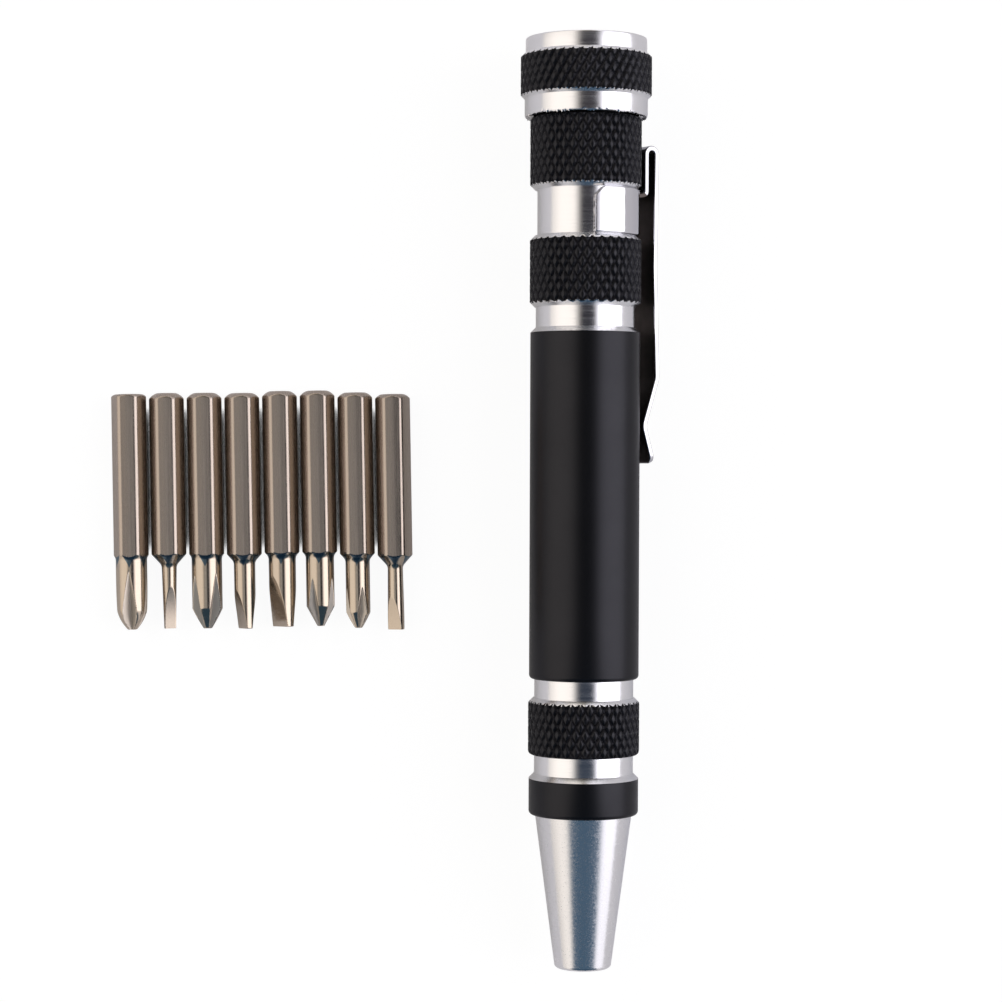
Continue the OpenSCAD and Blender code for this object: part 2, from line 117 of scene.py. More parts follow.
def skin(name, rings, poles, finishes, materials, along, around=1.0, sharp=34):
    # quads between neighbouring rings, each ring closed on itself, and a fan from each pole to the end rings;
    # with no poles the last ring joins the first
    closed = poles is None
    if closed:
        rings = np.concatenate([rings, rings[:1]])
        along = np.append(along, along[-1] + np.linalg.norm(rings[-1, 0] - rings[-2, 0]) / mm)
    rows, cols = rings.shape[:2]
    ids = np.arange(rows * cols).reshape(rows, cols)
    points = rings.reshape(-1, 3)
    if closed:
        ids[-1] = ids[0]
        points = points[:-cols]
    after = np.roll(ids, -1, axis=1)
    left = np.broadcast_to(np.arange(cols) / cols * around, (rows, cols))
    right = left + around / cols
    high = np.broadcast_to(np.asarray(along, float)[:, None], (rows, cols))
    faces = np.stack([ids[:-1], after[:-1], after[1:], ids[1:]], -1).reshape(-1, 4)
    u = np.stack([left[:-1], right[:-1], right[1:], left[1:]], -1)
    v = np.stack([high[:-1], high[:-1], high[1:], high[1:]], -1)
    uvs = np.stack([u, v], -1).reshape(-1, 4, 2)
    finishes = np.broadcast_to(np.asarray(finishes), (rows - 1, cols))
    fans, fanUvs, fanFinishes = np.zeros((0, 3), int), np.zeros((0, 3, 2)), np.zeros(0, int)
    if not closed:
        first = len(points)
        points = np.concatenate([points, np.asarray(poles)])
        startFan = np.stack([np.full(cols, first), after[0], ids[0]], -1)
        endFan = np.stack([np.full(cols, first + 1), ids[-1], after[-1]], -1)
        fans = np.concatenate([startFan, endFan])
        middle = (left[0] + right[0]) / 2
        startUv = np.array([[middle, high[0] - 1], [right[0], high[0]], [left[0], high[0]]])
        endUv = np.array([[middle, high[-1] + 1], [left[-1], high[-1]], [right[-1], high[-1]]])
        fanUvs = np.concatenate([startUv.transpose(2, 0, 1), endUv.transpose(2, 0, 1)])
        fanFinishes = np.concatenate([finishes[0], finishes[-1]])
    quads, thirds = points[faces].swapaxes(0, 1), points[fans].swapaxes(0, 1)
    volume = sixVolumes(*quads[:3]) + sixVolumes(*quads[[0, 2, 3]]) + sixVolumes(*thirds)
    if volume < 0:
        faces, uvs, fans, fanUvs = faces[:, ::-1], uvs[:, ::-1], fans[:, ::-1], fanUvs[:, ::-1]
    mesh = bpy.data.meshes.new(name)
    mesh.from_pydata(points.tolist(), [], faces.tolist() + fans.tolist())
    layer = mesh.uv_layers.new(name="surface")
    layer.data.foreach_set("uv", np.concatenate([uvs.ravel(), fanUvs.ravel()]).astype(np.float32))
    for material in materials:
        mesh.materials.append(material)
    indexes = np.concatenate([finishes.ravel(), fanFinishes]).astype(np.int32)
    mesh.polygons.foreach_set("material_index", indexes)
    mesh.polygons.foreach_set("use_smooth", np.ones(len(indexes), bool))
    mesh.set_sharp_from_angle(angle=math.radians(sharp))
    mesh.update()
    piece = bpy.data.objects.new(name, mesh)
    scene.collection.objects.link(piece)
    return piece


def follow(corners):
    # a profile of (station, radius, spacing, finish) corners, each run cut evenly, no longer than the spacing
    stations, radii, finishes = [corners[0][0]], [corners[0][1]], []
    for (s0, r0, *_), (s1, r1, spacing, finish) in zip(corners, corners[1:]):
        count = max(1, math.ceil(math.hypot(s1 - s0, r1 - r0) / spacing))
        share = np.arange(1, count + 1) / count
        stations.extend(s0 + (s1 - s0) * share)
        radii.extend(r0 + (r1 - r0) * share)
        finishes.extend([finish] * count)
    stations, radii = np.array(stations), np.array(radii)
    along = np.concatenate([[0], np.cumsum(np.hypot(np.diff(stations), np.diff(radii)))])
    return stations, radii, np.array(finishes), along


def quarter(station, radius, rounding, rising, finish, count=7):
    # corners on a quarter circle at a band's front edge (rising) or at its back edge
    a = np.linspace(0, tau / 4, count)[1:]
    short, deep = rounding * (1 - np.cos(a)), rounding * (1 - np.sin(a))
    if rising:
        return [(station + s, radius - d, uncut, finish) for s, d in zip(short, deep)]
    return [(station - d, radius - s, uncut, finish) for s, d in zip(short, deep)]


def turnedPiece(name, corners, columns, material):
    # a plain turned piece: its profile carried round the axis, with a pole at each end
    stations, radii, finishes, along = follow(corners)
    rings = onPen(radii[:, None], roundAngles(columns)[None], stations[:, None])
    return skin(name, rings, onPen(0.0, 0.0, stations[[0, -1]]), finishes[:, None], [material], along)


def linear(hexText):
    # sRGB hex to the linear colour that shaders take
    c = np.array([int(hexText[i : i + 2], 16) for i in (1, 3, 5)]) / 255
    c = np.where(c <= 0.04045, c / 12.92, ((c + 0.055) / 1.055) ** 2.4)
    return (float(c[0]), float(c[1]), float(c[2]), 1.0)


def addNode(tree, kind, inputs=None, **settings):
    # one node with its settings; each input is a constant, or the output that feeds it
    node = tree.nodes.new(kind)
    for key, value in settings.items():
        setattr(node, key, value)
    for key, value in (inputs or {}).items():
        if isinstance(value, bpy.types.NodeSocket):
            tree.links.new(value, node.inputs[key])
        else:
            node.inputs[key].default_value = value
    return node


def newFinish(name, finish, metallic=1.0):
    # a material with one Principled shader, constant values on its own sockets
    material = bpy.data.materials.new(name)
    material.use_nodes = True
    shader = material.node_tree.nodes["Principled BSDF"]
    shader.inputs["Base Color"].default_value = linear(finish["colour"])
    shader.inputs["Metallic"].default_value = metallic
    shader.inputs["Roughness"].default_value = finish["roughness"]
    return material, material.node_tree, shader


def speckle(tree, sizeMm, detail):
    # cloudy noise of a real size, fixed to the piece
    place = addNode(tree, "ShaderNodeTexCoord").outputs["Object"]
    inputs = {"Vector": place, "Scale": 1000 / sizeMm, "Detail": detail}
    return addNode(tree, "ShaderNodeTexNoise", inputs).outputs["Fac"]


def toolMarks(tree, perTurn, runMm, detail, roughness=0.5):
    # noise on the unrolled surface, so many times round and one run along: lathe rings or drawing marks
    surface = addNode(tree, "ShaderNodeUVMap", uv_map="surface").outputs["UV"]
    drawn = addNode(tree, "ShaderNodeMapping", {"Vector": surface, "Scale": (perTurn, 1 / runMm, 1.0)})
    inputs = {"Vector": drawn.outputs["Vector"], "Scale": 1.0, "Detail": detail, "Roughness": roughness}
    return addNode(tree, "ShaderNodeTexNoise", inputs).outputs["Fac"]


def dress(tree, shader, pattern, tones=None, rougher=None, window=(0.0, 1.0), bump=None):
    # a pattern drives the colour between two tones, the change of roughness while it crosses a window,
    # and a bump of a strength and a height in millimetres
    if tones:
        inputs = {"Factor": pattern, "A": linear(tones[0]), "B": linear(tones[1])}
        tone = addNode(tree, "ShaderNodeMix", inputs, data_type="RGBA")
        tree.links.new(tone.outputs["Result"], shader.inputs["Base Color"])
    if rougher:
        low, high = (shader.inputs["Roughness"].default_value + change for change in rougher)
        start, end = window
        inputs = {"Value": pattern, "From Min": start, "From Max": end, "To Min": low, "To Max": high}
        rough = addNode(tree, "ShaderNodeMapRange", inputs)
        tree.links.new(rough.outputs["Result"], shader.inputs["Roughness"])
    if bump:
        inputs = {"Height": pattern, "Strength": bump[0], "Distance": bump[1] * mm}
        relief = addNode(tree, "ShaderNodeBump", inputs)
        tree.links.new(relief.outputs["Normal"], shader.inputs["Normal"])


# black anodised aluminium, satin after a caustic etch: deep black with a soft sheen and a very fine grain
finish = {
    "colour": "#2a2a2d", "worn": "#303033", "roughness": 0.34, "metallic": 0.92, "edge": 0.8,
    "cloudMm": 5.0, "grainMm": 0.16, "rougher": (-0.06, 0.06), "bump": (0.12, 0.01),
}
blackAnodised, tree, shader = newFinish("blackAnodisedAluminium", finish, finish["metallic"])
shader.inputs["Specular Tint"].default_value = (finish["edge"], finish["edge"], finish["edge"], 1)
cloud = speckle(tree, finish["cloudMm"], detail=3.0)
grain = speckle(tree, finish["grainMm"], detail=2.0)
dress(tree, shader, cloud, tones=(finish["colour"], finish["worn"]))
dress(tree, shader, grain, rougher=finish["rougher"], bump=finish["bump"])

# the same anodising down in the knurl, left rougher by the knurling wheel: duller, and a darker colour with
# weaker grazing reflection, which is painted shade in the grooves, so the crests stand out
finish = {
    "colour": "#232327", "roughness": 0.5, "metallic": 0.92, "edge": 0.6,
    "grainMm": 0.12, "bump": (0.2, 0.01),
}
knurlRootShaded, tree, shader = newFinish("blackAnodisedKnurlRootPaintedShade", finish, finish["metallic"])
shader.inputs["Specular Tint"].default_value = (finish["edge"], finish["edge"], finish["edge"], 1)
dress(tree, shader, speckle(tree, finish["grainMm"], detail=2.0), bump=finish["bump"])

# bare aluminium, diamond turned after the anodising: mirror bright with fine rings from the tool
finish = {
    "colour": "#e6e6e8", "roughness": 0.2, "ringMm": 0.22,
    "rougher": (-0.05, 0.07), "window": (0.3, 0.7), "bump": (0.1, 0.01),
}
brightTurned, tree, shader = newFinish("brightTurnedAluminium", finish)
lathe = toolMarks(tree, perTurn=3.0, runMm=finish["ringMm"], detail=3.0, roughness=0.65)
dress(tree, shader, lathe, rougher=finish["rougher"], window=finish["window"], bump=finish["bump"])

# bare aluminium left as turned and lightly brushed: softer reflections with a faint sparkle
finish = {
    "colour": "#e0e0e2", "roughness": 0.21, "ringMm": 0.18, "grainMm": 0.25, "ringShare": 0.5,
    "rougher": (-0.06, 0.08), "window": (0.5, 1.0), "bump": (0.16, 0.01),
}
satinTurned, tree, shader = newFinish("satinTurnedAluminium", finish)
lathe = toolMarks(tree, perTurn=14.0, runMm=finish["ringMm"], detail=3.0, roughness=0.7)
inputs = {0: lathe, 1: finish["ringShare"], 2: speckle(tree, finish["grainMm"], detail=1.0)}
mixed = addNode(tree, "ShaderNodeMath", inputs, operation="MULTIPLY_ADD").outputs[0]
dress(tree, shader, mixed, rougher=finish["rougher"], window=finish["window"], bump=finish["bump"])

# bright chrome over stamped spring steel: a clear mirror, a little wavy from the press
finish = {
    "colour": "#d2d2d6", "roughness": 0.07, "waveMm": 1.6, "scuffMm": 0.4,
    "rougher": (-0.03, 0.1), "window": (0.35, 0.75), "bump": (0.25, 0.04),
}
chrome, tree, shader = newFinish("chromedSpringSteel", finish)
scuff = speckle(tree, finish["scuffMm"], detail=3.0)
dress(tree, shader, speckle(tree, finish["waveMm"], detail=2.0), bump=finish["bump"])
dress(tree, shader, scuff, rougher=finish["rougher"], window=finish["window"])

# the outside of the clip, which rubs on cloth: the same chrome, brushed a little greyer
finish = {
    "colour": "#a6a6aa", "roughness": 0.16, "scuffMm": 0.5, "rougher": (-0.06, 0.08), "window": (0.3, 0.7),
}
wornChrome, tree, shader = newFinish("wornChromedSteel", finish)
scuff = speckle(tree, finish["scuffMm"], detail=3.0)
dress(tree, shader, scuff, rougher=finish["rougher"], window=finish["window"])

# the inside of the clip and its foot, where the clip faces the barrel: dull from hardening, in a dark steel
# colour that is painted shade
finish = {"colour": "#57504d", "scale": "#423c3a", "roughness": 0.4, "cloudMm": 1.2}
clipShadeSteel, tree, shader = newFinish("springSteelPaintedShade", finish)
cloud = speckle(tree, finish["cloudMm"], detail=3.0)
dress(tree, shader, cloud, tones=(finish["scale"], finish["colour"]))

# chrome-vanadium bar, drawn to a hex and plated gunmetal: warm grey with long faint drawing marks
finish = {
    "colour": "#b3a79b", "deep": "#a0948a", "roughness": 0.24, "girthMm": 14.0, "markMm": 0.22, "runMm": 7.0,
    "rougher": (-0.07, 0.09), "window": (0.3, 0.7), "bump": (0.22, 0.02),
}
gunmetal, tree, shader = newFinish("gunmetalPlatedSteel", finish)
marksRound = finish["girthMm"] / finish["markMm"]
marks = toolMarks(tree, perTurn=marksRound, runMm=finish["runMm"], detail=4.0, roughness=0.6)
dress(tree, shader, marks, tones=(finish["deep"], finish["colour"]), bump=finish["bump"])
dress(tree, shader, marks, rougher=finish["rougher"], window=finish["window"])

# the same plating over a ground and polished point: brighter, with fine rings from the grinding
finish = {
    "colour": "#b9ac9c", "roughness": 0.16, "ringMm": 0.16,
    "rougher": (-0.04, 0.06), "window": (0.3, 0.7), "bump": (0.1, 0.01),
}
groundPoint, tree, shader = newFinish("groundPointSteel", finish)
lathe = toolMarks(tree, perTurn=6.0, runMm=finish["ringMm"], detail=2.0)
dress(tree, shader, lathe, rougher=finish["rougher"], window=finish["window"], bump=finish["bump"])

# the same plating in the coined flutes of a cross point: soft grey, with the die's fine grain
finish = {
    "colour": "#d6cbbd", "roughness": 0.45, "grainMm": 0.2, "rougher": (-0.08, 0.08), "bump": (0.2, 0.01),
}
coinedFlute, tree, shader = newFinish("coinedFluteSteel", finish)
grain = speckle(tree, finish["grainMm"], detail=2.0)
dress(tree, shader, grain, rougher=finish["rougher"], bump=finish["bump"])

# a dark blue-grey V on each flat where a hex is swaged down to its point: painted shade, smooth
finish = {"colour": "#53646f", "pale": "#5f6f78", "roughness": 0.22, "cloudMm": 0.8}
paintedShoulderShade, tree, shader = newFinish("bitShoulderPaintedShade", finish)
cloud = speckle(tree, finish["cloudMm"], detail=2.0)
dress(tree, shader, cloud, tones=(finish["colour"], finish["pale"]))

# hardened steel sleeve, broached and oiled: dark grey metal with turning rings
finish = {"colour": "#8b8b8d", "roughness": 0.28, "ringMm": 0.2, "bump": (0.15, 0.01)}
hardSteel, tree, shader = newFinish("hardenedSleeveSteel", finish)
dress(tree, shader, toolMarks(tree, perTurn=5.0, runMm=finish["ringMm"], detail=3.0), bump=finish["bump"])

# nickel plated neodymium disc: warm silver, slightly pebbled by the plating
finish = {"colour": "#cfc6b8", "roughness": 0.2, "pebbleMm": 0.3, "bump": (0.2, 0.02)}
nickel, tree, shader = newFinish("nickelPlatedMagnet", finish)
dress(tree, shader, speckle(tree, finish["pebbleMm"], detail=2.0), bump=finish["bump"])

# closed-cell foam rubber, cut from sheet: matt charcoal with small open pores
finish = {"colour": "#2b2c2f", "pore": "#131315", "roughness": 0.92, "poreMm": 0.45, "bump": (0.5, 0.1)}
foam, tree, shader = newFinish("closedCellFoam", finish, metallic=0.0)
place = addNode(tree, "ShaderNodeTexCoord").outputs["Object"]
cells = addNode(tree, "ShaderNodeTexVoronoi", {"Vector": place, "Scale": 1000 / finish["poreMm"]})
dress(tree, shader, cells.outputs["Distance"], tones=(finish["pore"], finish["colour"]), bump=finish["bump"])
print("finishes:", len(bpy.data.materials), "materials")

# the thread that the cap screws on, cut on the barrel's spigot and, half a pitch on, in the cap's bore
thread = {"start": 105.1, "pitch": 1.25, "turns": 3, "depth": 0.4, "root": 0.65, "crest": 0.35, "fade": 1 / 3}

# what a run of a turned profile is finished as; a toothed edge is a bright bevel that cuts into the knurl
black, bright, toothed, knurl = 0, 1, 2, 3


def knurlDepth(angle, station, part):
    # two crossing sets of V grooves: each is deepest on its helix line and leaves flat diamonds between
    def cut(turns):
        off = np.abs(turns - np.round(turns))
        return np.clip((0.5 - part["crest"] / 2 - off) / (0.5 - part["crest"] / 2), 0, 1)

    turn = part["teeth"] * angle / tau
    rise = station / part["lift"]
    return np.maximum(cut(turn - rise), part["second"] * cut(turn + rise))


def threadHeight(angle, station, start):
    # a trapezoid ridge on a right-hand helix, faded in and out over part of a turn at its ends
    lead = (station - start) / thread["pitch"] - angle / tau
    turn = np.clip(np.round(lead), 0, thread["turns"] - 1)
    off = np.abs(lead - turn) * thread["pitch"]
    ridge = np.clip((thread["root"] / 2 - off) / ((thread["root"] - thread["crest"]) / 2), 0, 1)
    travel = turn + angle / tau
    fadeIn, fadeOut = travel / thread["fade"], (thread["turns"] - travel) / thread["fade"]
    return thread["depth"] * ridge * np.clip(fadeIn, 0, 1) * np.clip(fadeOut, 0, 1)


def knurledGrid(corners, part, threadRows, threadStart, threadWay):
    # the profile carried round the axis: the smaller of its radius and the knurl's on the knurled bands,
    # and the thread's height added outwards (1) or inwards (-1) on its rows
    stations, radii, finishes, along = follow(corners)
    angles = roundAngles(part["columns"])
    gridS, gridA = np.meshgrid(stations, angles, indexing="ij")
    # a row belongs to a knurled band where a face on either side of it does
    faceKnurled = (finishes == knurl) | (finishes == toothed)
    rowKnurled = np.append(faceKnurled, False) | np.insert(faceKnurled, 0, False)
    knurled = part["crestRadius"] - part["depth"] * knurlDepth(gridA, gridS, part)
    gridR = np.where(rowKnurled[:, None], np.minimum(radii[:, None], knurled), radii[:, None])
    threaded = np.zeros((len(stations), 1), bool)
    threaded[threadRows] = True
    gridR = gridR + threadWay * np.where(threaded, threadHeight(gridA, gridS, threadStart), 0)
    # a toothed edge is bright only where the bevel cuts below the knurl, and the knurl's roots take the
    # rougher finish with painted shade
    midS, midR = (stations[1:] + stations[:-1]) / 2, (radii[1:] + radii[:-1]) / 2
    deep = knurlDepth(angles[None] + tau / part["columns"] / 2, midS[:, None], part)
    shadedRoots = np.where(deep > part["rootShadeFrom"], 2, 0)
    under = midR[:, None] < part["crestRadius"] - part["depth"] * deep
    faceFinish = np.where(finishes[:, None] == knurl, shadedRoots, finishes[:, None])
    faceFinish = np.where(finishes[:, None] == toothed, np.where(under, bright, shadedRoots), faceFinish)
    return gridR, gridA, gridS, faceFinish, along


# the barrel: black bands between bright grooves, each band with a rounded front edge or bright bevelled edges
barrel = {
    "columns": 324, "teeth": 36, "lift": 2.0, "depth": 0.26, "crest": 0.54, "second": 1.0, "rootShadeFrom": 0.3,
    "crestRadius": 6.8015, "round": 0.5, "bevel": 0.6, "groove": 6.0515, "neck": 5.9015, "grip": 6.7015,
    "spigot": 5.9515, "chamfer": 0.2, "bore": 5.3515, "boreChamfer": 0.15, "noseHole": 4.51, "noseGap": 0.05,
    "core": 0.4, "knurlStep": 0.18, "edgeStep": 0.075, "threadStep": 0.17, "frontStep": 1.0,
    "grooveStep": 1.5, "collarStep": 4.0, "gripStep": 6.0, "wallStep": 3.0, "holeStep": 4.0,
    "storeStep": 12.0,
}


def band(start, end, radius, frontBright, backBright, grooveAfter, step, kind):
    # one black band: its front edge, its run and its back edge, then the wall down to the groove behind it
    edge = toothed if kind == knurl else bright
    bevel, rounding = barrel["bevel"], barrel["round"]
    frontStep, edgeStep = barrel["frontStep"], barrel["edgeStep"]
    if frontBright:
        out = [(start, radius - bevel, frontStep, bright), (start + bevel, radius, edgeStep, edge)]
    else:
        out = [(start, radius - rounding, frontStep, black)] + quarter(start, radius, rounding, True, kind)
    if backBright:
        out += [(end - bevel, radius, step, kind), (end, radius - bevel, edgeStep, edge)]
    else:
        out += [(end - rounding, radius, step, kind)] + quarter(end, radius, rounding, False, kind)
    return out + [(end, grooveAfter, uncut, bright if backBright else black)]


noseFloor = pen["noseSpigot"] + barrel["noseGap"]
groove, grip, crestRadius = barrel["groove"], barrel["grip"], barrel["crestRadius"]
grooveStep, knurlStep = barrel["grooveStep"], barrel["knurlStep"]
corners = [(noseFloor, barrel["core"], uncut, black)]
corners += [(noseFloor, barrel["noseHole"], barrel["wallStep"], black)]
corners += [(pen["collar"], barrel["noseHole"], barrel["holeStep"], black)]
corners += band(pen["collar"], pen["collarGroove"], grip, False, True, groove, barrel["collarStep"], black)
corners += [(pen["frontKnurl"], groove, grooveStep, bright)]
corners += band(pen["frontKnurl"], pen["frontGroove"], crestRadius, False, True, groove, knurlStep, knurl)
corners += [(pen["grip"], groove, grooveStep, bright)]
corners += band(pen["grip"], pen["rearGroove"], grip, False, True, groove, barrel["gripStep"], black)
corners += [(pen["rearKnurl"], groove, grooveStep, bright)]
corners += band(pen["rearKnurl"], pen["neck"], crestRadius, True, True, barrel["neck"], knurlStep, knurl)
corners += [(pen["topKnurl"], barrel["neck"], grooveStep, bright)]
corners += band(pen["topKnurl"], pen["cap"], crestRadius, True, False, barrel["spigot"], knurlStep, knurl)
spigotFrom = len(follow(corners)[0])
corners += [(pen["spigotEnd"] - barrel["chamfer"], barrel["spigot"], barrel["threadStep"], black)]
spigotTo = len(follow(corners)[0])
corners += [(pen["spigotEnd"], barrel["spigot"] - barrel["chamfer"], uncut, black)]
corners += [(pen["spigotEnd"], barrel["bore"] + barrel["boreChamfer"], uncut, black)]
corners += [(pen["spigotEnd"] - barrel["boreChamfer"], barrel["bore"], uncut, black)]
corners += [(pen["store"], barrel["bore"], barrel["storeStep"], black)]
corners += [(pen["store"], barrel["core"], barrel["wallStep"], black)]
gridR, gridA, gridS, faceFinish, along = knurledGrid(
    corners, barrel, slice(spigotFrom, spigotTo), thread["start"], 1
)
barrelPiece = skin(
    "barrelShell", onPen(gridR, gridA, gridS), onPen(0.0, 0.0, gridS[[0, -1], 0]), faceFinish,
    [blackAnodised, brightTurned, knurlRootShaded], along,
)
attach(barrelPiece, "barrel")
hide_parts("barrel")
print("barrel:", len(barrelPiece.data.polygons), "faces")

# the nose: a bare cone with a rounded tip and a spigot that is pressed into the barrel
nose = {
    "columns": 200, "tip": 3.494, "round": 0.5, "back": 5.9015, "hole": 2.804, "holeEnd": 15.2, "mouth": 0.12,
    "spigot": 4.5, "chamfer": 0.2, "core": 0.3, "wallStep": 2.0, "holeStep": 4.0, "coneStep": 0.6,
    "shoulderStep": 1.0, "spigotStep": 3.0,
}
hole, spigot, chamfer = nose["hole"], nose["spigot"], nose["chamfer"]
corners = [(nose["holeEnd"], nose["core"], uncut, 0), (nose["holeEnd"], hole, nose["wallStep"], 0)]
corners += [(nose["mouth"], hole, nose["holeStep"], 0), (0, hole + nose["mouth"], uncut, 0)]
corners += [(0, nose["tip"] - nose["round"], uncut, 0)] + quarter(0, nose["tip"], nose["round"], True, 0)
corners += [(pen["collar"], nose["back"], nose["coneStep"], 0)]
corners += [(pen["collar"], spigot, nose["shoulderStep"], 0)]
corners += [(pen["noseSpigot"] - chamfer, spigot, nose["spigotStep"], 0)]
corners += [(pen["noseSpigot"], spigot - chamfer, uncut, 0)]
corners += [(pen["noseSpigot"], nose["core"], nose["wallStep"], 0)]
nosePiece = turnedPiece("noseConeShell", corners, nose["columns"], satinTurned)
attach(nosePiece, "barrel")
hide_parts("nose_cone")

# the sleeve: round outside, with a round mouth and a cone that leads into the hex inside
sleeve = {
    "columns": 144, "front": 0.2, "end": 15.2, "outer": 2.794, "mouth": 2.404, "mouthEnd": 1.2, "edge": 0.1,
    "halfFlat": 2.03, "cornerRound": 0.08, "lead": 0.42, "leadRows": 9, "leadGap": 0.02, "middle": 8.0,
    "hexRows": [5.0, 9.0, 13.0],
}
front, edge, outer, mouth = (sleeve[key] for key in ("front", "edge", "outer", "mouth"))
outside = [
    (sleeve["end"], outer - edge), (sleeve["end"] - edge, outer), (sleeve["middle"], outer),
    (front + edge, outer), (front, outer - edge), (front, mouth + edge), (front + edge, mouth),
    (sleeve["mouthEnd"] - sleeve["leadGap"], mouth),
]
lead = np.linspace(0, sleeve["lead"], sleeve["leadRows"])
hexRows = [*sleeve["hexRows"], sleeve["end"]]
rowS = np.concatenate([[s for s, r in outside], sleeve["mouthEnd"] + lead, hexRows])
rowR = np.concatenate([[r for s, r in outside], mouth - lead, np.zeros(len(hexRows))])
angles = roundAngles(sleeve["columns"])
hexHole = hexRadius(angles + tau / 12, sleeve["halfFlat"], sleeve["cornerRound"], 0.0)
# the cone and the hex share the rows behind the mouth: the larger of the two radii
behindMouth = (np.arange(len(rowR)) > len(outside))[:, None]
gridR = np.maximum(rowR[:, None], np.where(behindMouth, hexHole[None], 0))
rings = onPen(gridR, angles[None], rowS[:, None])
along = np.arange(len(rowS)) * 1.0
sleevePiece = skin("bitSleeveShell", rings, None, np.zeros((1, 1), int), [hardSteel], along)
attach(sleevePiece, "barrel")
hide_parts("bit_sleeve")

# the magnet at the bottom of the socket
magnet = {
    "columns": 96, "front": 12.2, "end": 15.2, "radius": 2.0, "edge": 0.18, "core": 0.2, "faceStep": 0.4,
    "sideStep": 1.0,
}
front, end, radius, edge = (magnet[key] for key in ("front", "end", "radius", "edge"))
corners = [(front, magnet["core"], uncut, 0), (front, radius - edge, magnet["faceStep"], 0)]
corners += quarter(front, radius, edge, True, 0) + [(end - edge, radius, magnet["sideStep"], 0)]
corners += quarter(end, radius, edge, False, 0) + [(end, magnet["core"], magnet["faceStep"], 0)]
magnetPiece = turnedPiece("socketMagnetDisc", corners, magnet["columns"], nickel)
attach(magnetPiece, "barrel")
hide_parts("socket_magnet")
print("nose, sleeve and magnet done")

# the cap: bright skirt and top, black knurled ring between, thread inside
cap = {
    "columns": 344, "teeth": 43, "lift": 2.0, "depth": 0.27, "crest": 0.48, "second": 0.6, "rootShadeFrom": 0.3,
    "crestRadius": 8.0015, "bevel": 0.45, "skirt": 7.5015, "top": 7.4015, "bore": 6.5015, "rim": 0.2,
    "seatGap": 0.05, "lead": 0.25, "lip": 0.1, "core": 0.5, "rimPoints": 5, "roofStep": 3.0, "boreStep": 0.12,
    "edgeStep": 0.05, "knurlStep": 0.12, "topStep": 1.2, "sideStep": 1.0, "nickBand": 0.6, "nickStep": 0.06,
    "dents": 46, "dentWidth": (0.01, 0.045), "dentShare": (0.2, 1), "nickDeep": 0.14, "nickHigh": 0.3,
    "skirtWall": 0.15, "burrLong": 0.22, "burrHigh": 0.12, "burrBlur": 9, "burrFrom": 0.45, "seed": 7,
}
bottom = pen["cap"] + cap["seatGap"]
skirt, crestRadius, bevel = cap["skirt"], cap["crestRadius"], cap["bevel"]
corners = [(pen["roof"], cap["core"], uncut, black), (pen["roof"], cap["bore"], cap["roofStep"], black)]
boreFrom = len(follow(corners)[0])
corners += [(bottom + cap["lead"], cap["bore"], cap["boreStep"], black)]
boreTo = len(follow(corners)[0]) - 1
corners += [(bottom, cap["bore"] + cap["lead"], uncut, bright), (bottom, skirt - cap["lip"], uncut, bright)]
corners += [(bottom + cap["lip"], skirt, uncut, bright)]
corners += [(bottom + cap["nickBand"], skirt, cap["nickStep"], bright)]
corners += [(pen["capKnurl"], skirt, cap["sideStep"], bright)]
corners += [(pen["capKnurl"], crestRadius - bevel, uncut, bright)]
corners += [(pen["capKnurl"] + bevel, crestRadius, cap["edgeStep"], toothed)]
corners += [(pen["capTop"] - bevel, crestRadius, cap["knurlStep"], knurl)]
corners += [(pen["capTop"], crestRadius - bevel, cap["edgeStep"], toothed)]
corners += [(pen["capTop"], cap["top"], uncut, bright)]
corners += [(pen["end"] - cap["rim"], cap["top"], cap["sideStep"], bright)]
corners += quarter(pen["end"], cap["top"], cap["rim"], False, bright, cap["rimPoints"])
corners += [(pen["end"], cap["core"], cap["topStep"], bright)]
gridR, gridA, gridS, faceFinish, along = knurledGrid(
    corners, cap, slice(boreFrom, boreTo), thread["start"] + thread["pitch"] / 2, -1
)
# small dents along the skirt's lower edge, where a cap gets knocked
random = np.random.default_rng(cap["seed"])
centres = random.uniform(0, tau, cap["dents"])
widths = random.uniform(*cap["dentWidth"], cap["dents"])
depths = random.uniform(*cap["dentShare"], cap["dents"])
gaps = np.abs((gridA[0] - centres[:, None] + tau / 2) % tau - tau / 2)
dents = (depths[:, None] * np.clip(1 - gaps / widths[:, None], 0, 1)).max(0)
onSkirt = (gridR > skirt - cap["skirtWall"]) & (gridS < pen["capKnurl"])
nickShare = np.clip(1 - (gridS - bottom) / cap["nickHigh"], 0, 1) * onSkirt
gridR = gridR - cap["nickDeep"] * dents[None] * nickShare
# and a burr that hangs from that edge in patches
burr = random.uniform(0, 1, cap["columns"]) ** 2
blur = np.ones(cap["burrBlur"]) / cap["burrBlur"]
burr = burr * (np.convolve(random.uniform(0, 1, cap["columns"]), blur, "same") > cap["burrFrom"])
burrShare = np.clip(1 - (gridS - bottom) / cap["burrHigh"], 0, 1) * onSkirt
hung = gridS - cap["burrLong"] * burr[None] * burrShare
capPiece = skin(
    "screwCapShell", onPen(gridR, gridA, hung), onPen(0.0, 0.0, gridS[[0, -1], 0]), faceFinish,
    [blackAnodised, brightTurned, knurlRootShaded], along,
)
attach(capPiece, "screw_cap")
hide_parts("screw_cap")
print("cap:", len(capPiece.data.polygons), "faces")

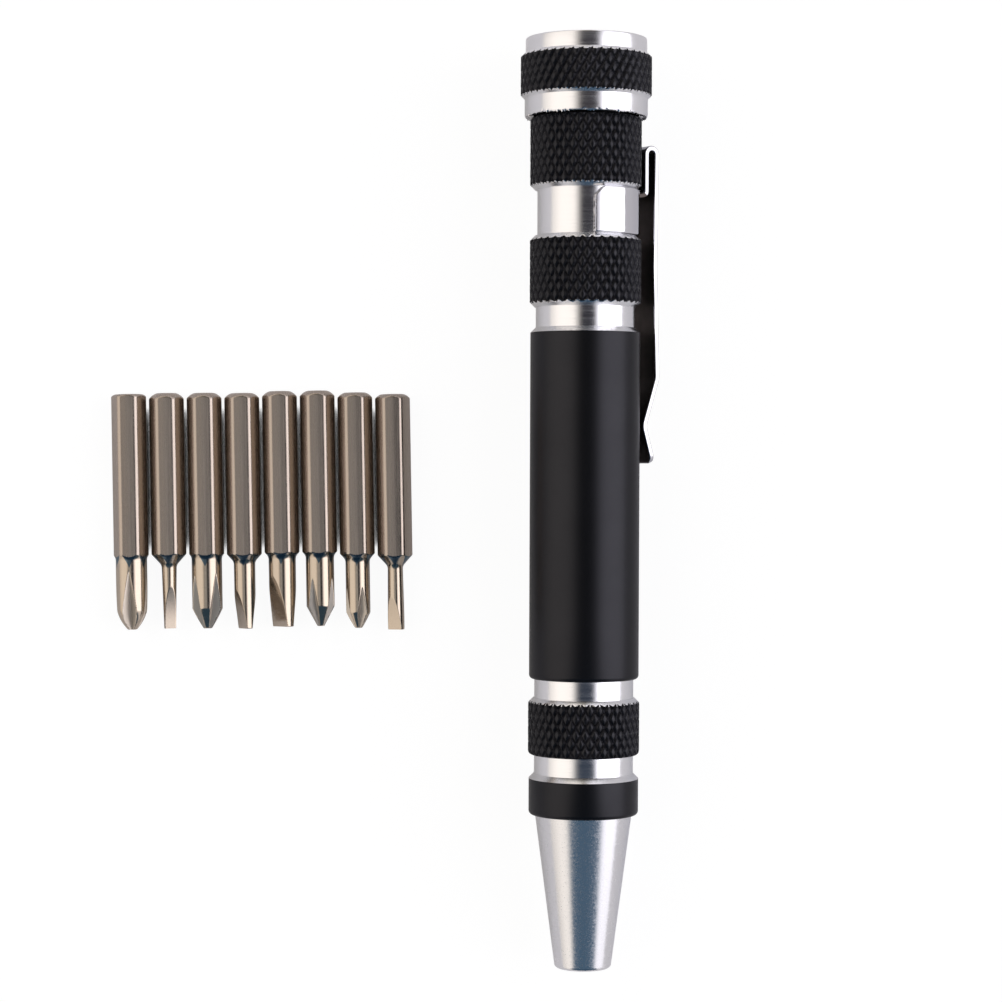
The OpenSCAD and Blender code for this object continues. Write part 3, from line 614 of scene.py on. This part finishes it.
# the pad under the cap's roof: a foam disc with a soft edge, a little crowned
pad = {
    "columns": 96, "front": 110.11, "end": 111.3, "radius": 5.94, "soft": 0.42, "crown": 0.12, "core": 0.4,
    "faceStep": 0.6,
}
rim, end, radius, soft = pad["front"] + pad["crown"], pad["end"], pad["radius"], pad["soft"]
corners = [(pad["front"], pad["core"], uncut, 0), (rim, radius - soft, pad["faceStep"], 0)]
corners += quarter(rim, radius, soft, True, 0) + quarter(end, radius, soft, False, 0)
corners += [(end, pad["core"], pad["faceStep"], 0)]
padPiece = turnedPiece("capPadFoam", corners, pad["columns"], foam)
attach(padPiece, "cap_pad")
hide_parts("cap_pad")

# the clip: one strip of sprung sheet, a band round the neck and an arm that turns over at the top;
# the points of its paths are (distance from the axis, station)
clip = {
    "thick": 0.6, "width": 5.5, "edge": 0.13, "bandMid": 6.2715, "bandStart": 89.5, "bandEnd": 95.0,
    "path": [(6.2715, 93.3), (6.2715, 94.4), (7.2515, 94.7), (7.2515, 99.67)],
    "bend": (8.0315, 99.67, 0.78),
    "arm": [(8.8115, 99.67), (8.6115, 85.935), (9.0115, 72.2), (7.0715, 66.35), (8.4715, 61.75)],
    "footEase": 0.6, "ease": 1.8, "footLong": 5.0, "footThin": 0.1, "footDrop": 0.1, "bendRows": 25,
    "step": 0.8, "girth": 12.0, "tipRound": 1.2, "tipRows": 13, "tipThin": (0.25, 0.15), "endGap": 0.004,
    "cornerPoints": 7, "sidePoints": 24, "wrap": 233, "wrapRows": 120, "cornerRound": 0.3, "cornerCut": 1.2,
    "cornerRows": 10, "endThin": (0.2, 0.2), "jag": 0.09, "jagReach": 0.5, "jagPoints": 40, "seed": 3,
    "flexTilt": 0.03, "flexHalf": 0.3, "hair": 0.0001,
}
across = -np.array(joints["clip_flex"]["axis"], float)
across /= np.linalg.norm(across)
outward = np.cross(across, penAxis)


def onClip(x, y, station):
    # x outwards from the axis under the clip, y across the strip, station along the pen
    x, y, s = np.broadcast_arrays(x, y, station)
    return penTip + mm * (x[..., None] * outward + y[..., None] * across + s[..., None] * penAxis)


def easedPath(points, radius, count=9):
    # a path whose inner corners are arcs of the radius that touch both of its runs
    points = [np.array(point, float) for point in points]
    out = [points[0]]
    for before, corner, after in zip(points, points[1:], points[2:]):
        u = (corner - before) / np.linalg.norm(corner - before)
        w = (after - corner) / np.linalg.norm(after - corner)
        turn = math.atan2(u[0] * w[1] - u[1] * w[0], u @ w)
        start = corner - u * radius * math.tan(abs(turn) / 2)
        centre = start + np.array([-u[1], u[0]]) * radius * math.copysign(1, turn)
        spoke = start - centre
        t = np.linspace(0, turn, count)
        arcX = spoke[0] * np.cos(t) - spoke[1] * np.sin(t)
        arcS = spoke[0] * np.sin(t) + spoke[1] * np.cos(t)
        out.extend(centre + np.stack([arcX, arcS], -1))
    return np.array(out + [points[-1]])


def refine(path, spacing):
    # the same path with its long runs cut up
    out = [path[:1]]
    for start, end in zip(path, path[1:]):
        count = max(1, math.ceil(np.linalg.norm(end - start) / spacing))
        out.append(start + (end - start) * (np.arange(1, count + 1) / count)[:, None])
    return np.concatenate(out)


def sectionLoop(halfWidth, halfThick, edge):
    # a rectangle with round edges, walked once round: (across, through) for each point
    t = np.linspace(0, tau / 4, clip["cornerPoints"])
    wide = np.linspace(1, -1, clip["sidePoints"] + 2)[1:-1] * (halfWidth - edge)
    arcs = [
        (cx * (halfWidth - edge) + edge * np.cos(t + turn), cy * (halfThick - edge) + edge * np.sin(t + turn))
        for turn, cx, cy in [(0, 1, 1), (tau / 4, -1, 1), (tau / 2, -1, -1), (tau * 3 / 4, 1, -1)]
    ]
    sides = [(wide, np.full(len(wide), halfThick)), (-wide, np.full(len(wide), -halfThick))]
    runs = [arcs[0], sides[0], arcs[1], arcs[2], sides[1], arcs[3]]
    return np.concatenate([run[0] for run in runs]), np.concatenate([run[1] for run in runs])


bendX, bendS, bendR = clip["bend"]
t = np.linspace(tau / 2, 0, clip["bendRows"])[1:-1]
bendArc = np.stack([bendX + bendR * np.cos(t), bendS + bendR * np.sin(t)], -1)
leg, arm = easedPath(clip["path"], clip["footEase"]), easedPath(clip["arm"], clip["ease"])
path = refine(np.concatenate([leg, bendArc, arm]), clip["step"])
length = np.concatenate([[0], np.cumsum(np.linalg.norm(np.diff(path, axis=0), axis=1))])
# rows crowd at the rounded tip
tipRows = length[-1] - clip["tipRound"] * (1 - np.sin(np.linspace(0, tau / 4, clip["tipRows"])))
rows = np.unique(np.concatenate([length[length < length[-1] - clip["tipRound"]], tipRows]))
apart = np.append(np.diff(rows) > clip["hair"], True)
rows = np.append(rows[apart][:-1], length[-1] - clip["endGap"])
path = np.stack([np.interp(rows, length, path[:, i]) for i in (0, 1)], -1)
tangent = np.gradient(path, axis=0)
tangent /= np.linalg.norm(tangent, axis=1, keepdims=True)
normal = np.stack([tangent[:, 1], -tangent[:, 0]], -1)
toTip = length[-1] - rows
thinRun, thinLeast = clip["tipThin"]
edgeShare = np.clip(toTip / thinRun, thinLeast, 1)
loopY, loopZ = sectionLoop(clip["width"] / 2, clip["thick"] / 2, clip["edge"])
y = loopY[None] * (1 - 2 * drawnIn(toTip, clip["tipRound"]) / clip["width"])[:, None]
# the foot is curved like the band and flattens on its way out to the leg
legRadius = clip["path"][-1][0]
nearFoot = rows < clip["footLong"]
curved = np.clip((legRadius - path[:, 0]) / (legRadius - clip["bandMid"]), 0, 1) * nearFoot
curved = curved**2 * (3 - 2 * curved)
through = loopZ[None] * (edgeShare * (1 - clip["footThin"] * curved))[:, None]
hollow = (clip["bandMid"] - np.sqrt(clip["bandMid"] ** 2 - y**2)) * curved[:, None]
x = path[:, :1] + normal[:, :1] * through - hollow
strip = onClip(x, y, path[:, 1:] + normal[:, 1:] * through)
# chrome on the edges, dark steel as painted shade on the inner side and on the foot, worn chrome on the outer
# side
faceZ = (loopZ + np.roll(loopZ, -1)) / 2
innerSide = faceZ > clip["thick"] / 2 - clip["hair"]
outerSide = faceZ < clip["edge"] - clip["thick"] / 2
onFoot = (path[1:, 0] < legRadius - clip["footDrop"]) & nearFoot[1:]
stripFinish = np.where(onFoot[:, None] | innerSide[None], 1, np.where(outerSide[None], 2, 0))
ends = np.stack([strip[0].mean(0), strip[-1].mean(0)])
stripPiece = skin(
    "pocketClipStrip", strip, ends, stripFinish, [chrome, clipShadeSteel, wornChrome], rows, clip["girth"]
)
print("clip strip:", len(stripPiece.data.polygons), "faces")

# the band: the same sheet rolled round the neck, open at the back, with rounded corners that are cut
# across on the cap's side
wrap = math.radians(clip["wrap"])
half = (clip["bandEnd"] - clip["bandStart"]) / 2
arcLength = wrap * clip["bandMid"]
cornerRun = clip["cornerRound"] * (1 - np.cos(np.linspace(0, tau / 4, clip["cornerRows"])[:-1]))
middleRun = np.linspace(clip["cornerRound"], arcLength - clip["cornerRound"], clip["wrapRows"])
along = np.unique(np.concatenate([cornerRun, middleRun, arcLength - cornerRun]))
along[0], along[-1] = clip["endGap"], arcLength - clip["endGap"]
toEnd = np.minimum(along, arcLength - along)
thinRun, thinLeast = clip["endThin"]
edgeShare = np.clip(toEnd / thinRun, thinLeast, 1)
loopY, loopZ = sectionLoop(half, clip["thick"] / 2, clip["edge"])
cut = np.where(loopY[None] > 0, np.maximum(clip["cornerCut"] - toEnd, 0)[:, None], 0)
up = loopY[None] * (1 - np.maximum(drawnIn(toEnd, clip["cornerRound"])[:, None], cut) / half)
r = clip["bandMid"] + loopZ[None] * edgeShare[:, None]
# the sheared ends of the strip are a little ragged
random = np.random.default_rng(clip["seed"])
jags = random.uniform(-1, 1, clip["jagPoints"])
ragged = np.interp(loopY, np.linspace(-half, half, clip["jagPoints"]), jags)
startShear = np.clip(1 - along / clip["jagReach"], 0, 1)
endShear = np.clip(1 - (arcLength - along) / clip["jagReach"], 0, 1)
shear = (startShear - endShear)[:, None] * clip["jag"] / clip["bandMid"] * (1 + ragged[None])
turn = (along / clip["bandMid"] - wrap / 2)[:, None] + shear
bandMesh = onClip(r * np.cos(turn), r * np.sin(turn), clip["bandStart"] + half + up)
ends = np.stack([bandMesh[0].mean(0), bandMesh[-1].mean(0)])
bandPiece = skin("pocketClipBand", bandMesh, ends, np.zeros((1, 1), int), [chrome], along, clip["girth"])
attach(bandPiece, "clip_band")
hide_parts("clip_band")
# the way the arm would bend, tilted a little along the pen, is worked out but not used; the strip is not
# attached to the band or the arm
bendWay = outward - clip["flexTilt"] * penAxis
bendWay = bendWay / np.linalg.norm(bendWay)
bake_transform(stripPiece)
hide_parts("clip_arm")
print("clip band:", len(bandPiece.data.polygons), "faces")

# the bits: a hex bar turned down to a neck, then ground to a blade or fluted to a cross; the lists go along
# the row, in shares of the hex (neck, shift), of the neck (end, edge, cone) or of the point (ground), in
# degrees (roll) or in millimetres
bits = {
    "names": [
        "bit_phillips_2", "bit_slotted_15", "bit_phillips_1", "bit_slotted_25",
        "bit_slotted_30", "bit_phillips_0", "bit_phillips_00", "bit_slotted_20",
    ],
    "af": 4.0, "shank": 19.8, "point": 9.4, "cornerRound": 0.7, "crown": 0.035, "columns": 240, "sharp": 40,
    "rowX": -34.0655, "pitch": 4.67982, "rowY": -15.5687, "turnDegrees": 1.2,
    "shoulderLean": 42, "filletRun": 0.36, "filletRows": 16,
    "shadeVDegrees": 27, "shadeVRun": 1.7, "shadeVLap": 0.1,
    "buttShares": [0, 0.06, 0.16, 0.32, 0.6, 1], "buttDraws": [1.1, 0.92, 0.73, 0.5, 0.22, 0],
    "buttRun": 1.2, "rowGap": 0.4, "rowCounts": (20, 8, 30, 92, 6), "tipRound": 0.1, "tipFrom": 0.2,
    "core": 0.05, "hexCrease": 0.05, "bladeCrease": 0.03, "bladeHollow": 0.1, "bladeEnd": 1.15,
    "fluteCrease": 0.04, "fluteRound": 0.02, "fluteEnd": 1.1, "margin": 0.02, "drawnLap": 0.4,
    "drawnButt": 2.0, "hair": 0.001,
    "slotted": [0, 1, 0, 1, 1, 0, 0, 1],
    "neck": [0.965, 0.46, 0.935, 0.66, 0.84, 0.87, 0.75, 0.47],
    "end": [0.3, 0.8, 0.28, 0.97, 0.97, 0.25, 0.29, 1.12],
    "cone": [0.62, 0, 0.66, 0, 0, 0.71, 0.65, 0],
    "ground": [0.8, 0.59, 0.73, 0.52, 0.68, 0.66, 0.56, 0.46],
    "edge": [0.16, 0.18, 0.16, 0.27, 0.26, 0.16, 0.16, 0.36],
    "roll": [48, 68, 3, 148, 139, 74, 21, 122],
    "shift": [-0.055, -0.015, -0.005, -0.005, 0.06, 0.08, 0.025, -0.02],
    "butt": [0.55, 1.0, 0.95, 0.9, 0.95, 0.95, 0.9, 0.8],
    "bulge": [0.24, 0, 0.05, 0, 0, 0, 0.05, 0],
}
shank, halfHex = bits["shank"], bits["af"] / 2
bitLength = shank + bits["point"]
cornerRadius = halfHex / math.cos(tau / 12)
turnRow = math.radians(bits["turnDegrees"])
lean = math.radians(bits["shoulderLean"])
angles = roundAngles(bits["columns"])
hexagon = hexRadius(angles + tau / 12, halfHex, bits["cornerRound"], bits["crown"])


def onBit(x, up, forward, number):
    # across the row, up from the table, and forward to the point, turned a little on the table
    centreX = bits["rowX"] + bitLength / 2 * math.sin(turnRow) + (number + 0.5) * bits["pitch"]
    centreY = bits["rowY"] + bitLength / 2 + bits["shift"][number] * bits["af"]
    rowX = centreX + x * math.cos(turnRow) + forward * math.sin(turnRow)
    rowY = centreY + x * math.sin(turnRow) - forward * math.cos(turnRow)
    return mm * np.stack([rowX, rowY, halfHex + up], -1)


def bitOutline(number, neck):
    # turned outline: domed butt, full corner radius, a cone with a fillet, neck, and a taper or a cone
    cone = bits["cone"][number] * 2 * neck
    fillet = bits["filletRun"] / math.tan(lean / 2)
    filletEnd = shank + (cornerRadius - neck) / math.tan(lean) + bits["filletRun"]
    a = np.linspace(lean, 0, bits["filletRows"])
    butt = bits["butt"][number]
    lineZ = [*(butt * np.array(bits["buttShares"])), shank, *(filletEnd - fillet * np.sin(a))]
    lineR = [*(cornerRadius - butt * np.array(bits["buttDraws"])), cornerRadius]
    lineR += [*(neck + fillet * (1 - np.cos(a)))]
    if cone:
        lineZ, lineR = lineZ + [bitLength - cone], lineR + [neck]
    lineZ, lineR = lineZ + [bitLength], lineR + [bits["end"][number] * neck]
    gap, tipRound = bits["rowGap"], bits["tipRound"]
    buttRows, shankRows, shoulderRows, pointRows, tipRows = bits["rowCounts"]
    z = np.concatenate(
        [
            np.linspace(0, bits["buttRun"], buttRows),
            np.linspace(bits["buttRun"] + gap, shank - gap, shankRows),
            np.linspace(shank - gap / 2, filletEnd, shoulderRows),
            np.linspace(filletEnd + gap / 5, bitLength - tipRound, pointRows),
            bitLength - tipRound * (1 - np.sin(np.linspace(bits["tipFrom"], tau / 4, tipRows))),
        ]
    )
    outline = np.interp(z, lineZ, lineR)
    if cone:
        share = np.clip((z - (bitLength - cone)) / cone, 0, 1)
        outline = outline + bits["bulge"][number] * 4 * share * (1 - share)
    # the last rows round the edge of the point's front
    return z, np.maximum(outline - drawnIn(bitLength - z, tipRound), bits["core"])


for number, name in enumerate(bits["names"]):
    neck = bits["neck"][number] * halfHex
    root = bits["edge"][number] * neck
    roll = math.radians(bits["roll"][number])
    z, outline = bitOutline(number, neck)
    gridR = softMin(hexagon[None], outline[:, None], bits["hexCrease"])
    share = ((bitLength - z) / (bits["ground"][number] * bits["point"]))[:, None]
    coined = np.zeros(gridR.shape, bool)
    if bits["slotted"][number]:
        # two hollow-ground flats: the half thickness grows from the edge up to the neck's radius
        wide = neck * max(1, bits["end"][number])
        dip = bits["bladeHollow"] * np.sin(np.pi * np.clip(share, 0, 1))
        flat = root + (wide - root) * np.where(share < 1, share - dip, share)
        blade = flat / np.maximum(np.abs(np.cos(angles - roll)), bits["hair"])[None]
        gridR = np.where(share < bits["bladeEnd"], softMin(gridR, blade, bits["bladeCrease"]), gridR)
    else:
        # four V flutes: each leaves the axis at the root radius and climbs out at the neck
        off = (angles - roll) % (tau / 4) - tau / 8
        opening = np.cos(off) - np.sqrt(np.sin(off) ** 2 + bits["fluteRound"] ** 2)
        flute = (root + (neck - root) * share) / np.maximum(opening, bits["hair"])[None]
        coined = (flute < gridR - bits["margin"]) & (share < bits["fluteEnd"])
        gridR = np.where(share < bits["fluteEnd"], softMin(gridR, flute, bits["fluteCrease"]), gridR)
    # the plating is bright where the lathe or the grinder went, and drawn on the hex
    onHex = hexagon[None] < outline[:, None] - bits["margin"]
    onHex = onHex & (z < shank + bits["drawnLap"])[:, None]
    drawn = onHex | (z < bits["drawnButt"])[:, None]
    # each flat runs out in a V of painted shade, dark blue-grey, that narrows down the shoulder
    fromFlat = np.abs(angles % (tau / 6) - tau / 12)
    shadeVLeft = 1 - np.clip((z - shank) / bits["shadeVRun"], 0, 1)
    shoulderShadeMask = fromFlat[None] < math.radians(bits["shadeVDegrees"]) * shadeVLeft[:, None]
    shoulderShadeMask = shoulderShadeMask & (z > shank - bits["shadeVLap"])[:, None]
    faceFinish = np.where(shoulderShadeMask[1:], 3, np.where(coined[:-1] & coined[1:], 2, 1))
    faceFinish = np.where(drawn[:-1] & drawn[1:], 0, faceFinish)
    forward = np.broadcast_to(z[:, None] - bitLength / 2, gridR.shape)
    rings = onBit(gridR * np.cos(angles), gridR * np.sin(angles), forward, number)
    poles = onBit(np.zeros(2), np.zeros(2), np.array([-bitLength / 2, bitLength / 2]), number)
    bitPiece = skin(
        name.replace("bit_", "bit_steel_"), rings, poles, faceFinish,
        [gunmetal, groundPoint, coinedFlute, paintedShoulderShade], z, sharp=bits["sharp"],
    )
    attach(bitPiece, name)
    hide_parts(name)
print("bits:", len(bits["names"]))

# the table: a pale light table, shown white to the camera, with a soft shadow that deepens in narrow gaps,
# where an occlusion test dims the glow as painted shade
table = {
    "size": 6.0, "drop": 0.00002, "pale": (0.82, 0.8077, 0.8282, 1), "lit": 0.1, "glow": 0.94,
    "shade": (0.1, 0.1, 0.1, 1), "gapReach": 0.01, "gapDark": 0.11, "gapClear": 0.14, "gapMargin": 0.002,
    "gapRays": 96,
}
white = (1, 1, 1, 1)
side, level = table["size"] / 2, -table["drop"]
mesh = bpy.data.meshes.new("tableTop")
square = [(-side, -side, level), (side, -side, level), (side, side, level), (-side, side, level)]
mesh.from_pydata(square, [], [(0, 1, 2, 3)])
floor = bpy.data.objects.new("tableTop", mesh)
scene.collection.objects.link(floor)
material = bpy.data.materials.new("paleTable")
material.use_nodes = True
tree = material.node_tree
tree.nodes.clear()
diffuse = addNode(tree, "ShaderNodeBsdfDiffuse", {"Color": table["pale"]}).outputs[0]
lamps = addNode(tree, "ShaderNodeEmission", {"Color": white, "Strength": table["lit"]}).outputs[0]
below = addNode(tree, "ShaderNodeAddShader", {0: diffuse, 1: lamps}).outputs[0]
openness = addNode(
    tree, "ShaderNodeAmbientOcclusion", {"Distance": table["gapReach"]}, samples=table["gapRays"]
).outputs["AO"]
gapDark, gapClear = table["gapDark"], table["gapClear"]
inputs = {"Value": openness, "From Min": gapDark, "From Max": gapClear, "To Max": table["glow"]}
clear = addNode(tree, "ShaderNodeMapRange", inputs, interpolation_type="SMOOTHSTEP").outputs[0]
paintedGapShade = addNode(tree, "ShaderNodeEmission", {"Color": white, "Strength": clear}).outputs[0]
inTheOpen = addNode(tree, "ShaderNodeEmission", {"Color": white, "Strength": table["glow"]}).outputs[0]
# the painted gap shade is looked for only under the row of bits, inside the box around it
rowBoxes = np.array([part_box(node) for node in bits["names"]])
rowLow = rowBoxes[:, 0].min(0) - table["gapMargin"]
rowHigh = rowBoxes[:, 1].max(0) + table["gapMargin"]
place = addNode(tree, "ShaderNodeTexCoord").outputs["Object"]
spot = addNode(tree, "ShaderNodeSeparateXYZ", {0: place})
inRow = []
for axis in (0, 1):
    middle, reach = float(rowLow[axis] + rowHigh[axis]) / 2, float(rowHigh[axis] - rowLow[axis]) / 2
    inputs = {0: spot.outputs[axis], 1: middle, 2: reach}
    inRow.append(addNode(tree, "ShaderNodeMath", inputs, operation="COMPARE").outputs[0])
underRow = addNode(tree, "ShaderNodeMath", {0: inRow[0], 1: inRow[1]}, operation="MULTIPLY").outputs[0]
glow = addNode(tree, "ShaderNodeMixShader", {0: underRow, 1: inTheOpen, 2: paintedGapShade}).outputs[0]
shadow = addNode(tree, "ShaderNodeBsdfDiffuse", {"Color": table["shade"]}).outputs[0]
seen = addNode(tree, "ShaderNodeAddShader", {0: shadow, 1: glow}).outputs[0]
cameraRay = addNode(tree, "ShaderNodeLightPath").outputs["Is Camera Ray"]
final = addNode(tree, "ShaderNodeMixShader", {0: cameraRay, 1: below, 2: seen}).outputs[0]
addNode(tree, "ShaderNodeOutputMaterial", {"Surface": final})
mesh.materials.append(material)

# the light tent: a warm panel on the left, a brighter one on the right, and a dark slit between them for the
# lens, which widens and turns blue towards the nose end; square to the pen each panel has a peak, over a
# level that drops to its foot near the table (degrees go from straight up to 180: the left peak never falls)
tent = {
    "left": {"colour": (1.16, 1.08, 1.0), "peak": 0.16, "peakFall": (180, 181), "foot": 0.68},
    "right": {"colour": (1.2, 1.17, 1.23), "peak": 1.05, "peakFall": (80, 140), "foot": 0.86},
    "footFall": (60, 95), "peakReach": (0.15, 0.4),
    # along the pen: degrees from straight up to the middle of the left and right edge, half their softness
    "edges": [
        (-1.0, (82, 104, 8)), (-0.37, (38, 45, 9)), (-0.12, (23, 28, 10)), (-0.06, (19.5, 27.5, 11)),
        (1.0, (19, 28, 11)),
    ],
    "slit": [
        (-1.0, (0.045, 0.09, 0.145)), (-0.65, (0.045, 0.09, 0.145)), (-0.42, (0.08, 0.142, 0.215)),
        (-0.2, (0.045, 0.07, 0.11)), (-0.08, (0.022, 0.025, 0.037)), (0.06, (0.026, 0.023, 0.028)),
        (0.3, (0.075, 0.072, 0.08)), (0.8, (0.27, 0.255, 0.2)),
    ],
}
world = bpy.data.worlds.new("lightTent")
scene.world = world
world.use_nodes = True
tree = world.node_tree
tree.nodes.clear()
place = addNode(tree, "ShaderNodeTexCoord").outputs["Generated"]
way = addNode(tree, "ShaderNodeSeparateXYZ", {0: place})
inputs = {"Value": way.outputs["Y"], "From Min": -1.0, "From Max": 1.0}
lengthwise = addNode(tree, "ShaderNodeMapRange", inputs).outputs[0]
inputs = {0: way.outputs["X"], 1: way.outputs["Z"]}
turned = addNode(tree, "ShaderNodeMath", inputs, operation="ARCTAN2").outputs[0]
halfTurns = addNode(tree, "ShaderNodeMath", {0: turned, 1: math.pi}, operation="DIVIDE").outputs[0]
tilt = addNode(tree, "ShaderNodeMath", {0: way.outputs["Y"]}, operation="ABSOLUTE").outputs[0]
reachFrom, reachTo = tent["peakReach"]
inputs = {"Value": tilt, "From Min": reachFrom, "From Max": reachTo, "To Min": 1.0, "To Max": 0.0}
near = addNode(tree, "ShaderNodeMapRange", inputs, interpolation_type="SMOOTHSTEP").outputs[0]
# two tables by how far a direction points along the pen: the slit's edges, in half turns, and its colours
tables = []
for stops in ([(where, [d / 180 for d in degrees]) for where, degrees in tent["edges"]], tent["slit"]):
    ramp = addNode(tree, "ShaderNodeValToRGB", {"Fac": lengthwise})
    while len(ramp.color_ramp.elements) < len(stops):
        ramp.color_ramp.elements.new(0.5)
    for stop, (where, values) in zip(ramp.color_ramp.elements, stops):
        stop.position, stop.color = (where + 1) / 2, (*values, 1)
    tables.append(ramp.outputs["Color"])
edges = addNode(tree, "ShaderNodeSeparateColor", {0: tables[0]})
lit = tables[1]
for number, (name, sign) in enumerate((("left", -1.0), ("right", 1.0))):
    panel = tent[name]
    turns = addNode(tree, "ShaderNodeMath", {0: halfTurns, 1: sign}, operation="MULTIPLY").outputs[0]
    inputs = {0: turns, 1: edges.outputs[number]}
    beyond = addNode(tree, "ShaderNodeMath", inputs, operation="SUBTRACT").outputs[0]
    past = addNode(tree, "ShaderNodeMath", {0: beyond, 1: edges.outputs[2]}, operation="DIVIDE").outputs[0]
    # smooth steps: the panel's own edge, its fall to the foot and the fall of its peak
    footFrom, footTo = (degrees / 180 for degrees in tent["footFall"])
    fallFrom, fallTo = (degrees / 180 for degrees in panel["peakFall"])
    steps = [(past, -1.0, 1.0, 0.0, 1.0), (turns, footFrom, footTo, 1.0, panel["foot"])]
    steps += [(turns, fallFrom, fallTo, panel["peak"], 0.0)]
    shares = []
    for source, start, end, low, high in steps:
        inputs = {"Value": source, "From Min": start, "From Max": end, "To Min": low, "To Max": high}
        step = addNode(tree, "ShaderNodeMapRange", inputs, interpolation_type="SMOOTHSTEP")
        shares.append(step.outputs[0])
    mask, foot, peak = shares
    inputs = {0: near, 1: peak, 2: foot}
    strength = addNode(tree, "ShaderNodeMath", inputs, operation="MULTIPLY_ADD").outputs[0]
    inputs = {0: panel["colour"], "Scale": strength}
    light = addNode(tree, "ShaderNodeVectorMath", inputs, operation="SCALE").outputs[0]
    inputs = {"Factor": mask, "A": lit, "B": light}
    lit = addNode(tree, "ShaderNodeMix", inputs, data_type="RGBA").outputs["Result"]
tentLight = addNode(tree, "ShaderNodeBackground", {"Color": lit, "Strength": 1.0}).outputs[0]
backdrop = addNode(tree, "ShaderNodeBackground", {"Color": white, "Strength": 1.0}).outputs[0]
cameraRay = addNode(tree, "ShaderNodeLightPath").outputs["Is Camera Ray"]
shown = addNode(tree, "ShaderNodeMixShader", {0: cameraRay, 1: tentLight, 2: backdrop}).outputs[0]
addNode(tree, "ShaderNodeOutputWorld", {"Surface": shown})

# a small gridded card over the bits, so that their upper flats read as metal; the grid keeps it off the pen
card = {
    "x": -21.0, "y": -1.0, "height": 60.0, "wide": 52.0, "deep": 54.0, "radiance": 0.75, "leanDegrees": -5.0,
    "gridDegrees": 30,
}
lamp = bpy.data.lights.new("bitCard", "AREA")
lamp.shape = "RECTANGLE"
lamp.size, lamp.size_y = card["wide"] * mm, card["deep"] * mm
lamp.spread = math.radians(card["gridDegrees"])
# a grid gathers the same power into a narrower beam, which is brighter along its middle by this much
beam = math.pi / 2 - lamp.spread / 2
gathered = 2 / (2 + (2 * beam - math.pi) * math.tan(beam))
lamp.energy = card["radiance"] * math.pi * lamp.size * lamp.size_y / gathered
lampHolder = bpy.data.objects.new("bitCard", lamp)
lampHolder.location = (card["x"] * mm, card["y"] * mm, card["height"] * mm)
lampHolder.rotation_euler = (0, math.radians(card["leanDegrees"]), 0)
lampHolder.visible_camera = False
scene.collection.objects.link(lampHolder)

# the camera looks straight down, a little turned
shot = {
    "x": 14.5793, "y": 0.355, "height": 337.3, "lens": 97.0, "sensor": 36.0, "clip": (0.01, 20),
    "turnDegrees": 0.22,
}
lens = bpy.data.cameras.new("overheadCamera")
lens.sensor_width = shot["sensor"]
lens.lens = shot["lens"]
lens.clip_start, lens.clip_end = shot["clip"]
camera = bpy.data.objects.new("overheadCamera", lens)
camera.location = (shot["x"] * mm, shot["y"] * mm, shot["height"] * mm)
camera.rotation_euler = (0, 0, math.radians(shot["turnDegrees"]))
scene.collection.objects.link(camera)
scene.camera = camera
scene.view_settings.view_transform = "Standard"
print("studio and camera set")
